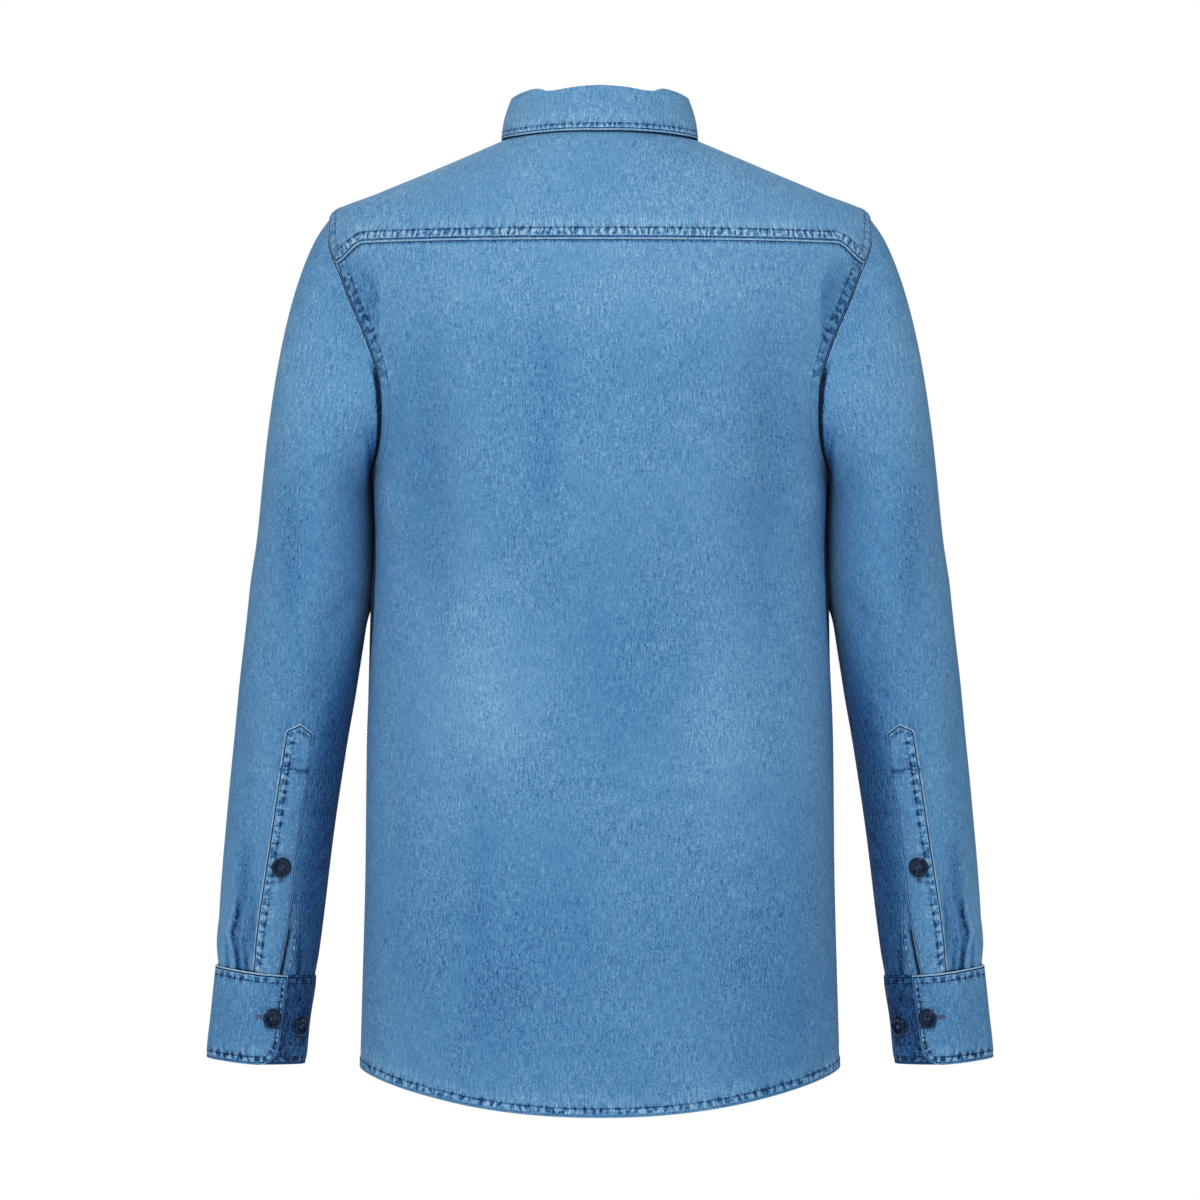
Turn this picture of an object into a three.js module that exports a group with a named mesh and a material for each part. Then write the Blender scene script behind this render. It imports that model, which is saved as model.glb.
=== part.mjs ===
// A long-sleeved denim shirt, worn on a general figure and drawn hollow, as a three.js scene graph.
// Millimetres. +Z is up, the back faces +Y and the wearer's left arm is at +X.
// The origin lies at the base of the neck, midway between the two points where the shoulders meet it.
import * as THREE from 'three';

// Driving sizes
const CLOTH = 1.4; // a wall of denim
const LAYERS = 1.2; // a folded strip sewn on top of a wall
const SEAM_GAP = 0.4; // left between two pieces along a seam
const LAYER_GAP = 0.6; // left between a piece and the one that it lies on
const YOKE_SEAM = -82; // height of the yoke's seam across the back
const YOKE_DIP = 14; // how far that seam drops where it meets the armhole
const SHOULDER_FORWARD = -33; // how far forward the yoke reaches at the neck
const FRONT_OVERLAP = 16; // each front passes the centre line by this much
const STAND_HEIGHT = 28; // collar stand at the centre of the back
const STAND_FRONT_HEIGHT = 24;
const STAND_OVERLAP = 12;
const STAND_LEAN = THREE.MathUtils.degToRad(5); // the stand leans inwards as it rises
const BICEP = -275; // height of the sleeve's first level section
const SLEEVE_END = -637;
const CUFF_TOP = -637.1;
const CUFF_BOTTOM = -706;
const CUFF_CORNER = 15; // radius of the cuff's rounded corner
const BUTTON_RADIUS = 7.75;
const BUTTON_HEIGHT = 2.6;
const FRONT_BUTTON_TOP = -112;
const FRONT_BUTTON_STEP = 94;
const FRONT_BUTTONS = 6;

// Rings of the body from the neckline to the hem. level is a ring's height at the sides, and back and front are
// its heights at the centre lines. seam is how far behind the side the side seam runs.
const BODY = [
  { level: 1, back: 9, front: -42, halfWidth: 68, backDepth: 57, frontDepth: 64, power: 2, seam: 0 },
  { level: -12, back: -5, front: -55, halfWidth: 99, backDepth: 73, frontDepth: 76, power: 2, seam: 0 },
  { level: -27, back: -23, front: -67, halfWidth: 135, backDepth: 85, frontDepth: 87, power: 2, seam: 0 },
  { level: -42, back: -42, front: -79, halfWidth: 171, backDepth: 94, frontDepth: 95, power: 2, seam: 0 },
  { level: -57, back: -61, front: -91, halfWidth: 205, backDepth: 102, frontDepth: 103, power: 2, seam: 0 },
  { level: -86, back: -89, front: -112, halfWidth: 216, backDepth: 111, frontDepth: 112, power: 2.2, seam: 0 },
  { level: -120, back: -121, front: -136, halfWidth: 208, backDepth: 118, frontDepth: 120, power: 2.3, seam: 4 },
  { level: -160, back: -160, front: -166, halfWidth: 196, backDepth: 123, frontDepth: 126, power: 2.35, seam: 8 },
  { level: -200, back: -200, front: -202, halfWidth: 183, backDepth: 127, frontDepth: 129, power: 2.4, seam: 10 },
  { level: -245, back: -245, front: -245, halfWidth: 172, backDepth: 129, frontDepth: 130, power: 2.4, seam: 12 },
  { level: -300, back: -300, front: -300, halfWidth: 172, backDepth: 127, frontDepth: 130, power: 2.3, seam: 26 },
  { level: -352, back: -352, front: -352, halfWidth: 175, backDepth: 124, frontDepth: 129, power: 2.2, seam: 30 },
  { level: -400, back: -401, front: -401, halfWidth: 176, backDepth: 122, frontDepth: 128, power: 2.3, seam: 22 },
  { level: -470, back: -473, front: -473, halfWidth: 178, backDepth: 121, frontDepth: 127, power: 2.4, seam: 4 },
  { level: -560, back: -569, front: -570, halfWidth: 179, backDepth: 123, frontDepth: 127, power: 2.4, seam: 0 },
  { level: -640, back: -656, front: -658, halfWidth: 181, backDepth: 126, frontDepth: 128, power: 2.4, seam: 0 },
  { level: -707, back: -735, front: -736, halfWidth: 183, backDepth: 129, frontDepth: 130, power: 2.4, seam: 0 },
];
const RING_DIP = 2.1; // how late a ring leaves its height at the side for its height at the centre line

// The left armhole seen from the side, once round from the underarm: up the back, over the shoulder, down the front.
const ARMHOLE = [
  { place: 'underarm', y: 12, z: -250 },
  { place: 'low back', y: 44, z: -240 },
  { place: 'back', y: 65, z: -214 },
  { place: 'back', y: 72, z: -184 },
  { place: 'back', y: 66, z: -152 },
  { place: 'back', y: 57, z: -122 },
  { place: 'back corner', y: 48, z: -96 },
  { place: 'behind the top', y: 26, z: -69 },
  { place: 'top', y: -3, z: -57 },
  { place: 'before the top', y: -27, z: -68 },
  { place: 'front corner', y: -42, z: -88 },
  { place: 'front', y: -54, z: -122 },
  { place: 'front', y: -61, z: -163 },
  { place: 'front', y: -58, z: -204 },
  { place: 'low front', y: -34, z: -239 },
];
const ARMHOLE_MIDDLE = { y: 5, z: -158 };

// Sections of the left sleeve from the bicep to the cuff's edge: where the middle is, and how wide and deep.
// A section turns from an oval into a rounded square that stands on its corner. It rises outwards by tilt for each
// millimetre across.
const SLEEVE = [
  { height: -275, x: 217.5, y: 3, halfWidth: 41, halfDepth: 64, power: 2, tilt: 0.115 },
  { height: -310, x: 219, y: 1, halfWidth: 43, halfDepth: 62.5, power: 2, tilt: 0.115 },
  { height: -352, x: 222.5, y: -2, halfWidth: 45.5, halfDepth: 60, power: 2.05, tilt: 0.115 },
  { height: -413, x: 230.5, y: -7, halfWidth: 44.7, halfDepth: 57, power: 2.15, tilt: 0.115 },
  { height: -459, x: 237, y: -11, halfWidth: 43, halfDepth: 54, power: 2.3, tilt: 0.115 },
  { height: -520, x: 244.8, y: -17, halfWidth: 41.3, halfDepth: 49.5, power: 2.5, tilt: 0.115 },
  { height: -581, x: 251.5, y: -22, halfWidth: 40.2, halfDepth: 45, power: 2.7, tilt: 0.115 },
  { height: -620, x: 255.3, y: -25, halfWidth: 38.6, halfDepth: 41, power: 2.85, tilt: 0.11 },
  { height: -638, x: 257, y: -26, halfWidth: 37, halfDepth: 38.6, power: 2.9, tilt: 0.11 },
  { height: -672, x: 261, y: -28, halfWidth: 36.6, halfDepth: 37.6, power: 3, tilt: 0.09 },
  { height: -706, x: 265, y: -30, halfWidth: 36.2, halfDepth: 37, power: 3, tilt: 0.065 },
];

// The strip over the sleeve's slit, from its point to the cuff. outer and inner are its two edges, as shares of the
// sleeve's half width, and they lie on the back of the sleeve.
const SLIT_STRIP = [
  { height: -451, outer: 0.03, inner: -0.42 },
  { height: -476, outer: 0.05, inner: -0.42 },
  { height: -528, outer: 0.09, inner: -0.4 },
  { height: -570, outer: 0.14, inner: -0.4 },
  { height: -600, outer: 0.18, inner: -0.375 },
  { height: -636, outer: 0.22, inner: -0.3 },
];
const STRIP_POINT = 6; // the strip's point stands this far above its shoulders
const SLIT_BINDING = [
  { height: -581, outer: -0.43, inner: -0.5 },
  { height: -600, outer: -0.405, inner: -0.55 },
  { height: -618, outer: -0.37, inner: -0.57 },
  { height: -636, outer: -0.33, inner: -0.5 },
];
const STRIP_BUTTON = { height: -553.5, share: -0.145 };
const CUFF_EDGE = -0.46; // the cuff's overlapping end, as a share of its half width
const CUFF_BUTTONS = [
  { height: -670, share: -0.25 },
  { height: -676, share: -0.85 },
];
const CUFF_UNDERLAP = THREE.MathUtils.degToRad(40); // the cuff's other end reaches on this far under the overlap

// Soft folds of the body, in the order left to right. A fold's middle runs from x at its top to x + lean at its end.
const BODY_FOLDS = [
  { side: 'back', x: 132, top: -115, end: -400, lean: -6, width: 17, rise: -4.5 },
  { side: 'back', x: 158, top: -130, end: -330, lean: 3, width: 12, rise: 2 },
  { side: 'back', x: 88, top: -330, end: -520, lean: 10, width: 26, rise: 3 },
  { side: 'back', x: 64, top: -640, end: -735, lean: 60, width: 22, rise: -3 },
  { side: 'back', x: 34, top: -95, end: -225, lean: 6, width: 10, rise: -2 },
  { side: 'back', x: -60, top: -600, end: -735, lean: -66, width: 22, rise: -3 },
  { side: 'back', x: -92, top: -350, end: -500, lean: -8, width: 22, rise: 2.5 },
  { side: 'back', x: -132, top: -115, end: -400, lean: 6, width: 17, rise: -4.5 },
  { side: 'back', x: -158, top: -130, end: -330, lean: -3, width: 12, rise: 2 },
  { side: 'front', x: 128, top: -120, end: -380, lean: -10, width: 18, rise: -4 },
  { side: 'front', x: 70, top: -300, end: -560, lean: 26, width: 24, rise: 3 },
  { side: 'front', x: -76, top: -330, end: -590, lean: -30, width: 24, rise: 3 },
  { side: 'front', x: -128, top: -120, end: -380, lean: 10, width: 18, rise: -4 },
];

// Folds of the left sleeve: angle is measured from the outer side round the back, in degrees, and lean is how far the
// fold turns on its way down. The last three are the pleats that take the sleeve into the cuff.
const SLEEVE_FOLDS = [
  { angle: 62, top: -330, end: -480, lean: 34, width: 15, rise: -2.5 },
  { angle: 128, top: -340, end: -470, lean: -20, width: 14, rise: -3 },
  { angle: 30, top: -470, end: -600, lean: 30, width: 15, rise: 2.5 },
  { angle: 250, top: -400, end: -540, lean: 40, width: 16, rise: -4 },
  { angle: 300, top: -430, end: -600, lean: 20, width: 15, rise: -3 },
  { angle: 62, top: -566, end: -665, lean: 4, width: 6, rise: -4.5 },
  { angle: 49, top: -566, end: -665, lean: 3, width: 7, rise: 2.5 },
  { angle: 76, top: -615, end: -662, lean: 0, width: 4, rise: -2 },
];

// How finely the walls are divided
const NECK_ROWS = 5;
const NECK_EASE = 1.35; // rows from the neck to the yoke's seams lie closer together at the neck
const BACK_COLUMNS = 20;
const FRONT_COLUMNS = 9;
const SIDE_ROWS = 11;
const CAP_ROWS = 6;
const TUBE_ROWS = 10;
const CUFF_COLUMNS = 26;
const CUFF_ROWS = 3;
const LEAF_COLUMNS = 28;
const BUTTON_SIDES = 10;
const RIGHT_ANGLE = Math.PI / 2;

// Colours of the wash: paler on the shoulders than on the skirt and sleeves
const COLOURS = {
  denim: 0x6494bf,
  shoulders: 0x6a9dc9,
  sleeves: 0x5688b5,
  edges: 0x5082ac,
  buttons: 0x1c2740,
};

// Smooth curves through the columns of a table: none of them overshoots its rows.
function smoothColumn(table, by, name) {
  const at = table.map((row) => row[by]);
  const value = table.map((row) => row[name]);
  const last = table.length - 1;
  const slope = at.slice(1).map((key, i) => (value[i + 1] - value[i]) / (key - at[i]));
  const tangent = value.map((unused, i) => {
    if (i === 0 || i === last) return slope[Math.min(i, last - 1)];
    const product = slope[i - 1] * slope[i];
    return product <= 0 ? 0 : (2 * product) / (slope[i - 1] + slope[i]);
  });
  const direction = Math.sign(at[1] - at[0]);
  return (key) => {
    if ((key - at[0]) * direction <= 0) return value[0] + tangent[0] * (key - at[0]);
    if ((key - at[last]) * direction >= 0) return value[last] + tangent[last] * (key - at[last]);
    let i = 0;
    while ((key - at[i + 1]) * direction > 0) i += 1;
    const span = at[i + 1] - at[i];
    const t = (key - at[i]) / span;
    const rest = 1 - t;
    const start = rest * rest * (1 + 2 * t) * value[i] + rest * rest * t * span * tangent[i];
    return start + t * t * (3 - 2 * t) * value[i + 1] - t * t * rest * span * tangent[i + 1];
  };
}

function smoothTable(table, by) {
  const names = Object.keys(table[0]).filter((name) => typeof table[0][name] === 'number');
  return Object.fromEntries(names.map((name) => [name, smoothColumn(table, by, name)]));
}

function smoothStep(value, from, to) {
  return THREE.MathUtils.smoothstep(value, from, to);
}

function lerp(a, b, share) {
  return THREE.MathUtils.lerp(a, b, share);
}

// The argument, between low and high, at which a rising or falling function reaches a value.
function solve(rises, value, low, high) {
  let below = low;
  let above = high;
  const isRising = rises(high) > rises(low);
  for (let step = 0; step < 40; step += 1) {
    const middle = (below + above) / 2;
    if (rises(middle) < value === isRising) below = middle;
    else above = middle;
  }
  return (below + above) / 2;
}

// Height that a table's soft folds add at a place given by its position across and its height.
function foldRise(folds, across, height) {
  let rise = 0;
  for (const fold of folds) {
    const down = (height - fold.top) / (fold.end - fold.top);
    if (down <= 0 || down >= 1) continue;
    const off = (across - fold.x - fold.lean * down) / fold.width;
    rise += fold.rise * Math.exp(-off * off) * Math.sin(Math.PI * down) ** 0.8;
  }
  return rise;
}

// The body. A place on it is an angle round the body, from the left side by way of the back, and a level.
const body = smoothTable(BODY, 'level');
const NECK_LEVEL = BODY[0].level;
const HEM_LEVEL = BODY[BODY.length - 1].level;
const BACK_FOLDS = BODY_FOLDS.filter((fold) => fold.side === 'back');
const FRONT_FOLDS = BODY_FOLDS.filter((fold) => fold.side === 'front');

function ringPoint({ angle, level }) {
  const round = 2 / body.power(level);
  const cosine = Math.cos(angle);
  const sine = Math.sin(angle);
  const isBack = sine >= 0;
  const depth = isBack ? body.backDepth(level) : body.frontDepth(level);
  const middle = isBack ? body.back(level) : body.front(level);
  const x = body.halfWidth(level) * Math.sign(cosine) * Math.abs(cosine) ** round;
  const y = depth * Math.sign(sine) * Math.abs(sine) ** round;
  const share = 1 - Math.abs(cosine) ** (round * RING_DIP);
  return new THREE.Vector3(x, y, lerp(level, middle, share));
}

// The direction square to a surface, from its points a little way off in both of its parameters.
function squareTo(surface, first, second, firstStep, secondStep) {
  const along = surface(first + firstStep, second).sub(surface(first - firstStep, second));
  const down = surface(first, second - secondStep).sub(surface(first, second + secondStep));
  return down.cross(along).normalize();
}

function bodyNormal({ angle, level }) {
  const surface = (a, l) => ringPoint({ angle: a, level: l });
  return squareTo(surface, angle, level, 0.02, 1);
}

function bodyPoint(place) {
  const point = ringPoint(place);
  const folds = point.y > 0 ? BACK_FOLDS : FRONT_FOLDS;
  return point.addScaledVector(bodyNormal(place), foldRise(folds, point.x, point.z));
}

// The angle on the left side at which a ring reaches a depth y, and at which its front or back reaches x.
function angleAtDepth(y, level) {
  const depth = y >= 0 ? body.backDepth(level) : body.frontDepth(level);
  const share = Math.min(Math.abs(y) / depth, 1);
  return Math.sign(y) * Math.asin(share ** (body.power(level) / 2));
}

function frontAngleAt(x, level) {
  const share = Math.abs(x) / body.halfWidth(level);
  return -RIGHT_ANGLE + Math.sign(x) * Math.asin(share ** (body.power(level) / 2));
}

function placeAt(y, z) {
  const heightAt = (level) => ringPoint({ angle: angleAtDepth(y, level), level }).z;
  const level = solve(heightAt, z, HEM_LEVEL, NECK_LEVEL);
  return { angle: angleAtDepth(y, level), level };
}

function mirrored({ angle, level }) {
  return { angle: Math.PI - angle, level };
}

// The armhole is a closed smooth curve through its table's rows, and a station counts rows from the underarm.
const STATIONS = ARMHOLE.length;
const stationOf = (name) => ARMHOLE.findIndex((row) => row.place === name);
const BACK_CORNER = stationOf('back corner');
const FRONT_CORNER = stationOf('front corner');

function armholePlace(station) {
  const first = Math.floor(station);
  const t = station - first;
  const [before, from, to, after] = [-1, 0, 1, 2].map((step) => ARMHOLE[(first + step + STATIONS) % STATIONS]);
  const through = (name) => {
    const bend = 2 * before[name] - 5 * from[name] + 4 * to[name] - after[name];
    const twist = 3 * from[name] - before[name] - 3 * to[name] + after[name];
    return from[name] + (t / 2) * (to[name] - before[name] + t * (bend + t * twist));
  };
  return placeAt(through('y'), through('z'));
}

function stationsBetween(from, to, steps) {
  return Array.from({ length: steps + 1 }, (unused, i) => from + ((to - from) * i) / steps);
}

const BACK_STATIONS = stationsBetween(0, BACK_CORNER, 9);
const TOP_STATIONS = stationsBetween(BACK_CORNER, FRONT_CORNER, 6);
const FRONT_STATIONS = stationsBetween(FRONT_CORNER, STATIONS, 9);

// The left sleeve. A place on it is an angle round the sleeve, from its outer side by way of the back, and a height.
const sleeve = smoothTable(SLEEVE, 'height');
const SLEEVE_PLEATS = SLEEVE_FOLDS.map((fold) => ({ ...fold, x: fold.angle }));

function sectionPoint(angle, height) {
  const power = sleeve.power(height);
  const turned = angle - RIGHT_ANGLE / 2;
  const first = Math.sign(Math.cos(turned)) * Math.abs(Math.cos(turned)) ** (2 / power);
  const second = Math.sign(Math.sin(turned)) * Math.abs(Math.sin(turned)) ** (2 / power);
  const corner = Math.SQRT2 * 2 ** (0.5 - 1 / power);
  const x = (sleeve.halfWidth(height) * (first - second)) / corner;
  const y = (sleeve.halfDepth(height) * (first + second)) / corner;
  return new THREE.Vector3(sleeve.x(height) + x, sleeve.y(height) + y, height + x * sleeve.tilt(height));
}

function sleeveNormal(angle, height) {
  return squareTo(sectionPoint, angle, height, 0.03, 1);
}

function sleevePoint(angle, height) {
  const degrees = THREE.MathUtils.euclideanModulo(THREE.MathUtils.radToDeg(angle), 360);
  const rise = foldRise(SLEEVE_PLEATS, degrees, height);
  return sectionPoint(angle, height).addScaledVector(sleeveNormal(angle, height), rise);
}

// The angle at which the back of a section reaches a share of its half width.
function sleeveAngle(share, height) {
  const shareAt = (angle) => (sectionPoint(angle, height).x - sleeve.x(height)) / sleeve.halfWidth(height);
  return solve(shareAt, share, 0, Math.PI);
}

function armholeAngle(station) {
  const point = ringPoint(armholePlace(station));
  return Math.atan2(point.y - ARMHOLE_MIDDLE.y, point.z - ARMHOLE_MIDDLE.z);
}

// The sleeve's head leaves the armhole outwards and bends down into the bicep section.
function headPoint(station, share) {
  const place = armholePlace(station);
  const angle = armholeAngle(station);
  const start = bodyPoint(place);
  const end = sleevePoint(angle, BICEP);
  const reach = 0.8 * start.distanceTo(end);
  const fall = THREE.MathUtils.degToRad(36 + 16 * Math.cos(angle) ** 2);
  const spread = THREE.MathUtils.degToRad(20) * Math.sin(angle);
  const level = Math.cos(fall);
  const leaving = new THREE.Vector3(level * Math.cos(spread), level * Math.sin(spread), -Math.sin(fall));
  const arriving = sleevePoint(angle, BICEP - 1).sub(end).normalize();
  const rest = 1 - share;
  return start
    .multiplyScalar(rest * rest * (1 + 2 * share))
    .addScaledVector(leaving, rest * rest * share * reach)
    .addScaledVector(end, share * share * (3 - 2 * share))
    .addScaledVector(arriving, -share * share * rest * reach);
}

function headNormal(station, share) {
  const near = Math.min(Math.max(share, 0.01), 0.99);
  const before = headPoint(station - 0.05 < 0 ? station - 0.05 + STATIONS : station - 0.05, near);
  const after = headPoint(station + 0.05 > STATIONS ? station + 0.05 - STATIONS : station + 0.05, near);
  const down = headPoint(station, near + 0.01).sub(headPoint(station, near - 0.01));
  return after.sub(before).cross(down).normalize();
}

// Where two walls meet at a blunt corner their ends are cut to the same slope, and where they double back they are not.
function sharedSlope(own, other) {
  const both = own.clone().add(other).normalize();
  return own.clone().lerp(both, smoothStep(own.dot(other), 0.1, 0.6)).normalize();
}

function armholeSlope(station) {
  return sharedSlope(bodyNormal(armholePlace(station)), headNormal(station, 0));
}

// A wall of cloth from a grid of places: its outer face, and the way and distance to its inner face.
// A closed wall joins its last column to its first. Each four-sided face is split along its shorter diagonal, and its
// inner twin in the same way.
function wallGeometry({ grid, closed = false, trim = SEAM_GAP / 2 }) {
  const rows = grid.length;
  const columns = grid[0].length;
  const shift = (row, column, toRow, toColumn) => {
    const from = grid[row][column].outer;
    return grid[toRow][toColumn].outer.clone().sub(from).setLength(trim);
  };
  const corners = grid.map((line, row) =>
    line.map(({ outer, inward }, column) => {
      const moved = new THREE.Vector3();
      if (row === 0) moved.add(shift(row, column, 1, column));
      if (row === rows - 1) moved.add(shift(row, column, row - 1, column));
      if (!closed && column === 0) moved.add(shift(row, column, row, 1));
      if (!closed && column === columns - 1) moved.add(shift(row, column, row, column - 1));
      const face = outer.clone().add(moved);
      return { face, back: face.clone().add(inward) };
    }),
  );
  const points = [...corners.flat().map((corner) => corner.face), ...corners.flat().map((corner) => corner.back)];
  const outerAt = (row, column) => row * columns + (column % columns);
  const innerAt = (row, column) => rows * columns + outerAt(row, column);
  const faces = [];
  const addQuad = (a, b, c, d, isTurned) => faces.push(...(isTurned ? [b, c, d, b, d, a] : [a, b, c, a, c, d]));
  const strips = closed ? columns : columns - 1;
  for (let column = 0; column < strips; column += 1) {
    for (let row = 0; row < rows - 1; row += 1) {
      const next = column + 1;
      const quad = [outerAt(row, column), outerAt(row + 1, column), outerAt(row + 1, next), outerAt(row, next)];
      const [a, b, c, d] = quad.map((corner) => points[corner]);
      const isTurned = b.distanceTo(d) < a.distanceTo(c);
      addQuad(...quad, isTurned);
      addQuad(innerAt(row, next), innerAt(row + 1, next), innerAt(row + 1, column), innerAt(row, column), !isTurned);
    }
    addQuad(outerAt(0, column + 1), innerAt(0, column + 1), innerAt(0, column), outerAt(0, column));
    const end = rows - 1;
    addQuad(outerAt(end, column), innerAt(end, column), innerAt(end, column + 1), outerAt(end, column + 1));
  }
  for (let row = 0; row < rows - 1 && !closed; row += 1) {
    const end = columns - 1;
    addQuad(outerAt(row, 0), innerAt(row, 0), innerAt(row + 1, 0), outerAt(row + 1, 0));
    addQuad(outerAt(row + 1, end), innerAt(row + 1, end), innerAt(row, end), outerAt(row, end));
  }
  return facingOut(points, faces);
}

// Turns the faces round where they enclose the solid from within.
function facingOut(points, faces) {
  let volume = 0;
  for (let i = 0; i < faces.length; i += 3) {
    const [a, b, c] = [0, 1, 2].map((step) => points[faces[i + step]]);
    volume += a.dot(b.clone().cross(c));
  }
  const index = volume < 0 ? faces.slice().reverse() : faces;
  const geometry = new THREE.BufferGeometry().setFromPoints(points);
  geometry.setIndex(index);
  geometry.computeVertexNormals();
  return geometry;
}

function mirroredGeometry(geometry) {
  const other = geometry.clone().scale(-1, 1, 1);
  other.setIndex(Array.from(other.index.array).reverse());
  other.computeVertexNormals();
  return other;
}

// A corner of a wall on the body, under the surface by sunk, with its inner face straight below where the slope says.
function bodyCorner(place, slope, sunk = 0) {
  const normal = bodyNormal(place);
  const way = slope ?? normal;
  const deep = 1 / Math.max(way.dot(normal), 0.5);
  const outer = bodyPoint(place).addScaledVector(way, -sunk * deep);
  return { outer, inward: way.clone().multiplyScalar(-CLOTH * deep) };
}

const UP = new THREE.Vector3(0, 0, 1);
const flipped = (vector) => vector.clone().setX(-vector.x);

// The yoke's seam across the back, and its seam down each front from the neck to the armhole.
function yokeSeamPlace(angle) {
  const offSeam = (level) => {
    const point = ringPoint({ angle, level });
    return point.z + YOKE_DIP * smoothStep(Math.abs(point.x), 178, 200);
  };
  return { angle, level: solve(offSeam, YOKE_SEAM, -250, NECK_LEVEL) };
}

const NECK_FRONT_ANGLE = angleAtDepth(SHOULDER_FORWARD, NECK_LEVEL);

function fromNeck(angle, place, row) {
  const share = row / NECK_ROWS;
  return { angle: lerp(angle, place.angle, share), level: lerp(NECK_LEVEL, place.level, share ** NECK_EASE) };
}

function backSeamPlaces() {
  const corner = armholePlace(BACK_CORNER);
  return Array.from({ length: BACK_COLUMNS + 1 }, (unused, i) => {
    if (i === 0) return corner;
    if (i === BACK_COLUMNS) return mirrored(corner);
    return yokeSeamPlace(lerp(corner.angle, Math.PI - corner.angle, i / BACK_COLUMNS));
  });
}

// The yoke runs from one front seam over the shoulders and the back of the neck to the other.
function yokeGeometry() {
  const armhole = TOP_STATIONS.slice().reverse();
  const left = armhole.map((station) => ({ place: armholePlace(station), slope: armholeSlope(station) }));
  const right = left.slice().reverse().map(({ place, slope }) => ({ place: mirrored(place), slope: flipped(slope) }));
  const seam = backSeamPlaces().slice(1, -1).map((place) => ({ place }));
  const outerEdge = [...left, ...seam, ...right];
  const last = outerEdge.length - 1;
  const neckAngle = (column) => lerp(NECK_FRONT_ANGLE, Math.PI - NECK_FRONT_ANGLE, column / last);
  const grid = Array.from({ length: NECK_ROWS + 1 }, (unused, row) =>
    outerEdge.map(({ place, slope }, column) => {
      const here = fromNeck(neckAngle(column), place, row);
      if (row === 0) return bodyCorner(here, UP);
      return bodyCorner(here, row === NECK_ROWS ? slope : undefined);
    }),
  );
  return wallGeometry({ grid });
}

// The side seam leaves the armhole and slides from behind the side to the side on its way to the hem.
function sideSeamPlace(share) {
  const start = armholePlace(0);
  const level = lerp(start.level, HEM_LEVEL, share);
  return { angle: angleAtDepth(body.seam(level), level), level };
}

function sideSeamPlaces() {
  return Array.from({ length: SIDE_ROWS }, (unused, i) => ({ place: sideSeamPlace((i + 1) / SIDE_ROWS) }));
}

// Rows of a panel start on the centre line at heights that lie between their edge's height and even steps.
function middleLevel(edge, row) {
  const even = lerp(edge[0].place.level, HEM_LEVEL, row / (edge.length - 1));
  return lerp(edge[row].place.level, even, 0.5);
}

function backGeometry() {
  const seam = backSeamPlaces();
  const armhole = BACK_STATIONS.slice().reverse();
  const edge = [
    ...armhole.map((station) => ({ place: armholePlace(station), slope: armholeSlope(station) })),
    ...sideSeamPlaces(),
  ];
  const grid = edge.map(({ place, slope }, row) =>
    seam.map((seamPlace, column) => {
      if (row === 0) return bodyCorner(seamPlace, undefined);
      const off = Math.abs((2 * column) / BACK_COLUMNS - 1);
      const isEdge = column === 0 || column === BACK_COLUMNS;
      const edgeSlope = isEdge && slope ? (column === 0 ? slope : flipped(slope)) : undefined;
      const angle = lerp(place.angle, Math.PI - place.angle, column / BACK_COLUMNS);
      const level = lerp(middleLevel(edge, row), place.level, off ** 1.6);
      return bodyCorner({ angle, level }, edgeSlope);
    }),
  );
  return wallGeometry({ grid });
}

// The left front, or the right one, which passes under it at the centre line. Both are worked out on the left side.
function frontGeometry(side) {
  const isRight = side === 'right';
  const corner = armholePlace(FRONT_CORNER);
  const neck = Array.from({ length: NECK_ROWS }, (unused, row) => ({ place: fromNeck(NECK_FRONT_ANGLE, corner, row) }));
  const armhole = FRONT_STATIONS.map((station) => ({ place: armholePlace(station), slope: armholeSlope(station) }));
  const edge = [...neck, ...armhole, ...sideSeamPlaces()];
  const grid = edge.map(({ place, slope }, row) =>
    Array.from({ length: FRONT_COLUMNS + 1 }, (unused, column) => {
      const share = column / FRONT_COLUMNS;
      const level = lerp(middleLevel(edge, row), place.level, share ** 1.6);
      const closing = frontAngleAt(-FRONT_OVERLAP, level);
      const here = { angle: lerp(closing, place.angle, share), level };
      const off = ringPoint(here).x;
      const sunk = isRight ? (CLOTH + LAYER_GAP) * (1 - smoothStep(off, FRONT_OVERLAP, 3 * FRONT_OVERLAP)) : 0;
      if (row === 0) return bodyCorner(here, UP, sunk);
      return bodyCorner(here, share === 1 ? slope : undefined, sunk);
    }),
  );
  const geometry = wallGeometry({ grid });
  return isRight ? mirroredGeometry(geometry) : geometry;
}

// The collar stand is a band in the neckline, and its ends lap at the front. angle goes on past a full turn.
function standBase(angle, sunk) {
  const place = { angle, level: NECK_LEVEL };
  const outward = ringPoint(place).setZ(0).normalize();
  const point = ringPoint(place).addScaledVector(outward, -0.35 - sunk);
  return { point, outward };
}

function standHeight(angle) {
  return lerp(STAND_FRONT_HEIGHT, STAND_HEIGHT, (1 + Math.sin(angle)) / 2);
}

function standPoint(angle, share, sunk = 0) {
  const { point, outward } = standBase(angle, sunk);
  const rise = -CLOTH + share * (standHeight(angle) + CLOTH);
  return point.addScaledVector(outward, -rise * Math.sin(STAND_LEAN)).addScaledVector(UP, rise * Math.cos(STAND_LEAN));
}

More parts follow.
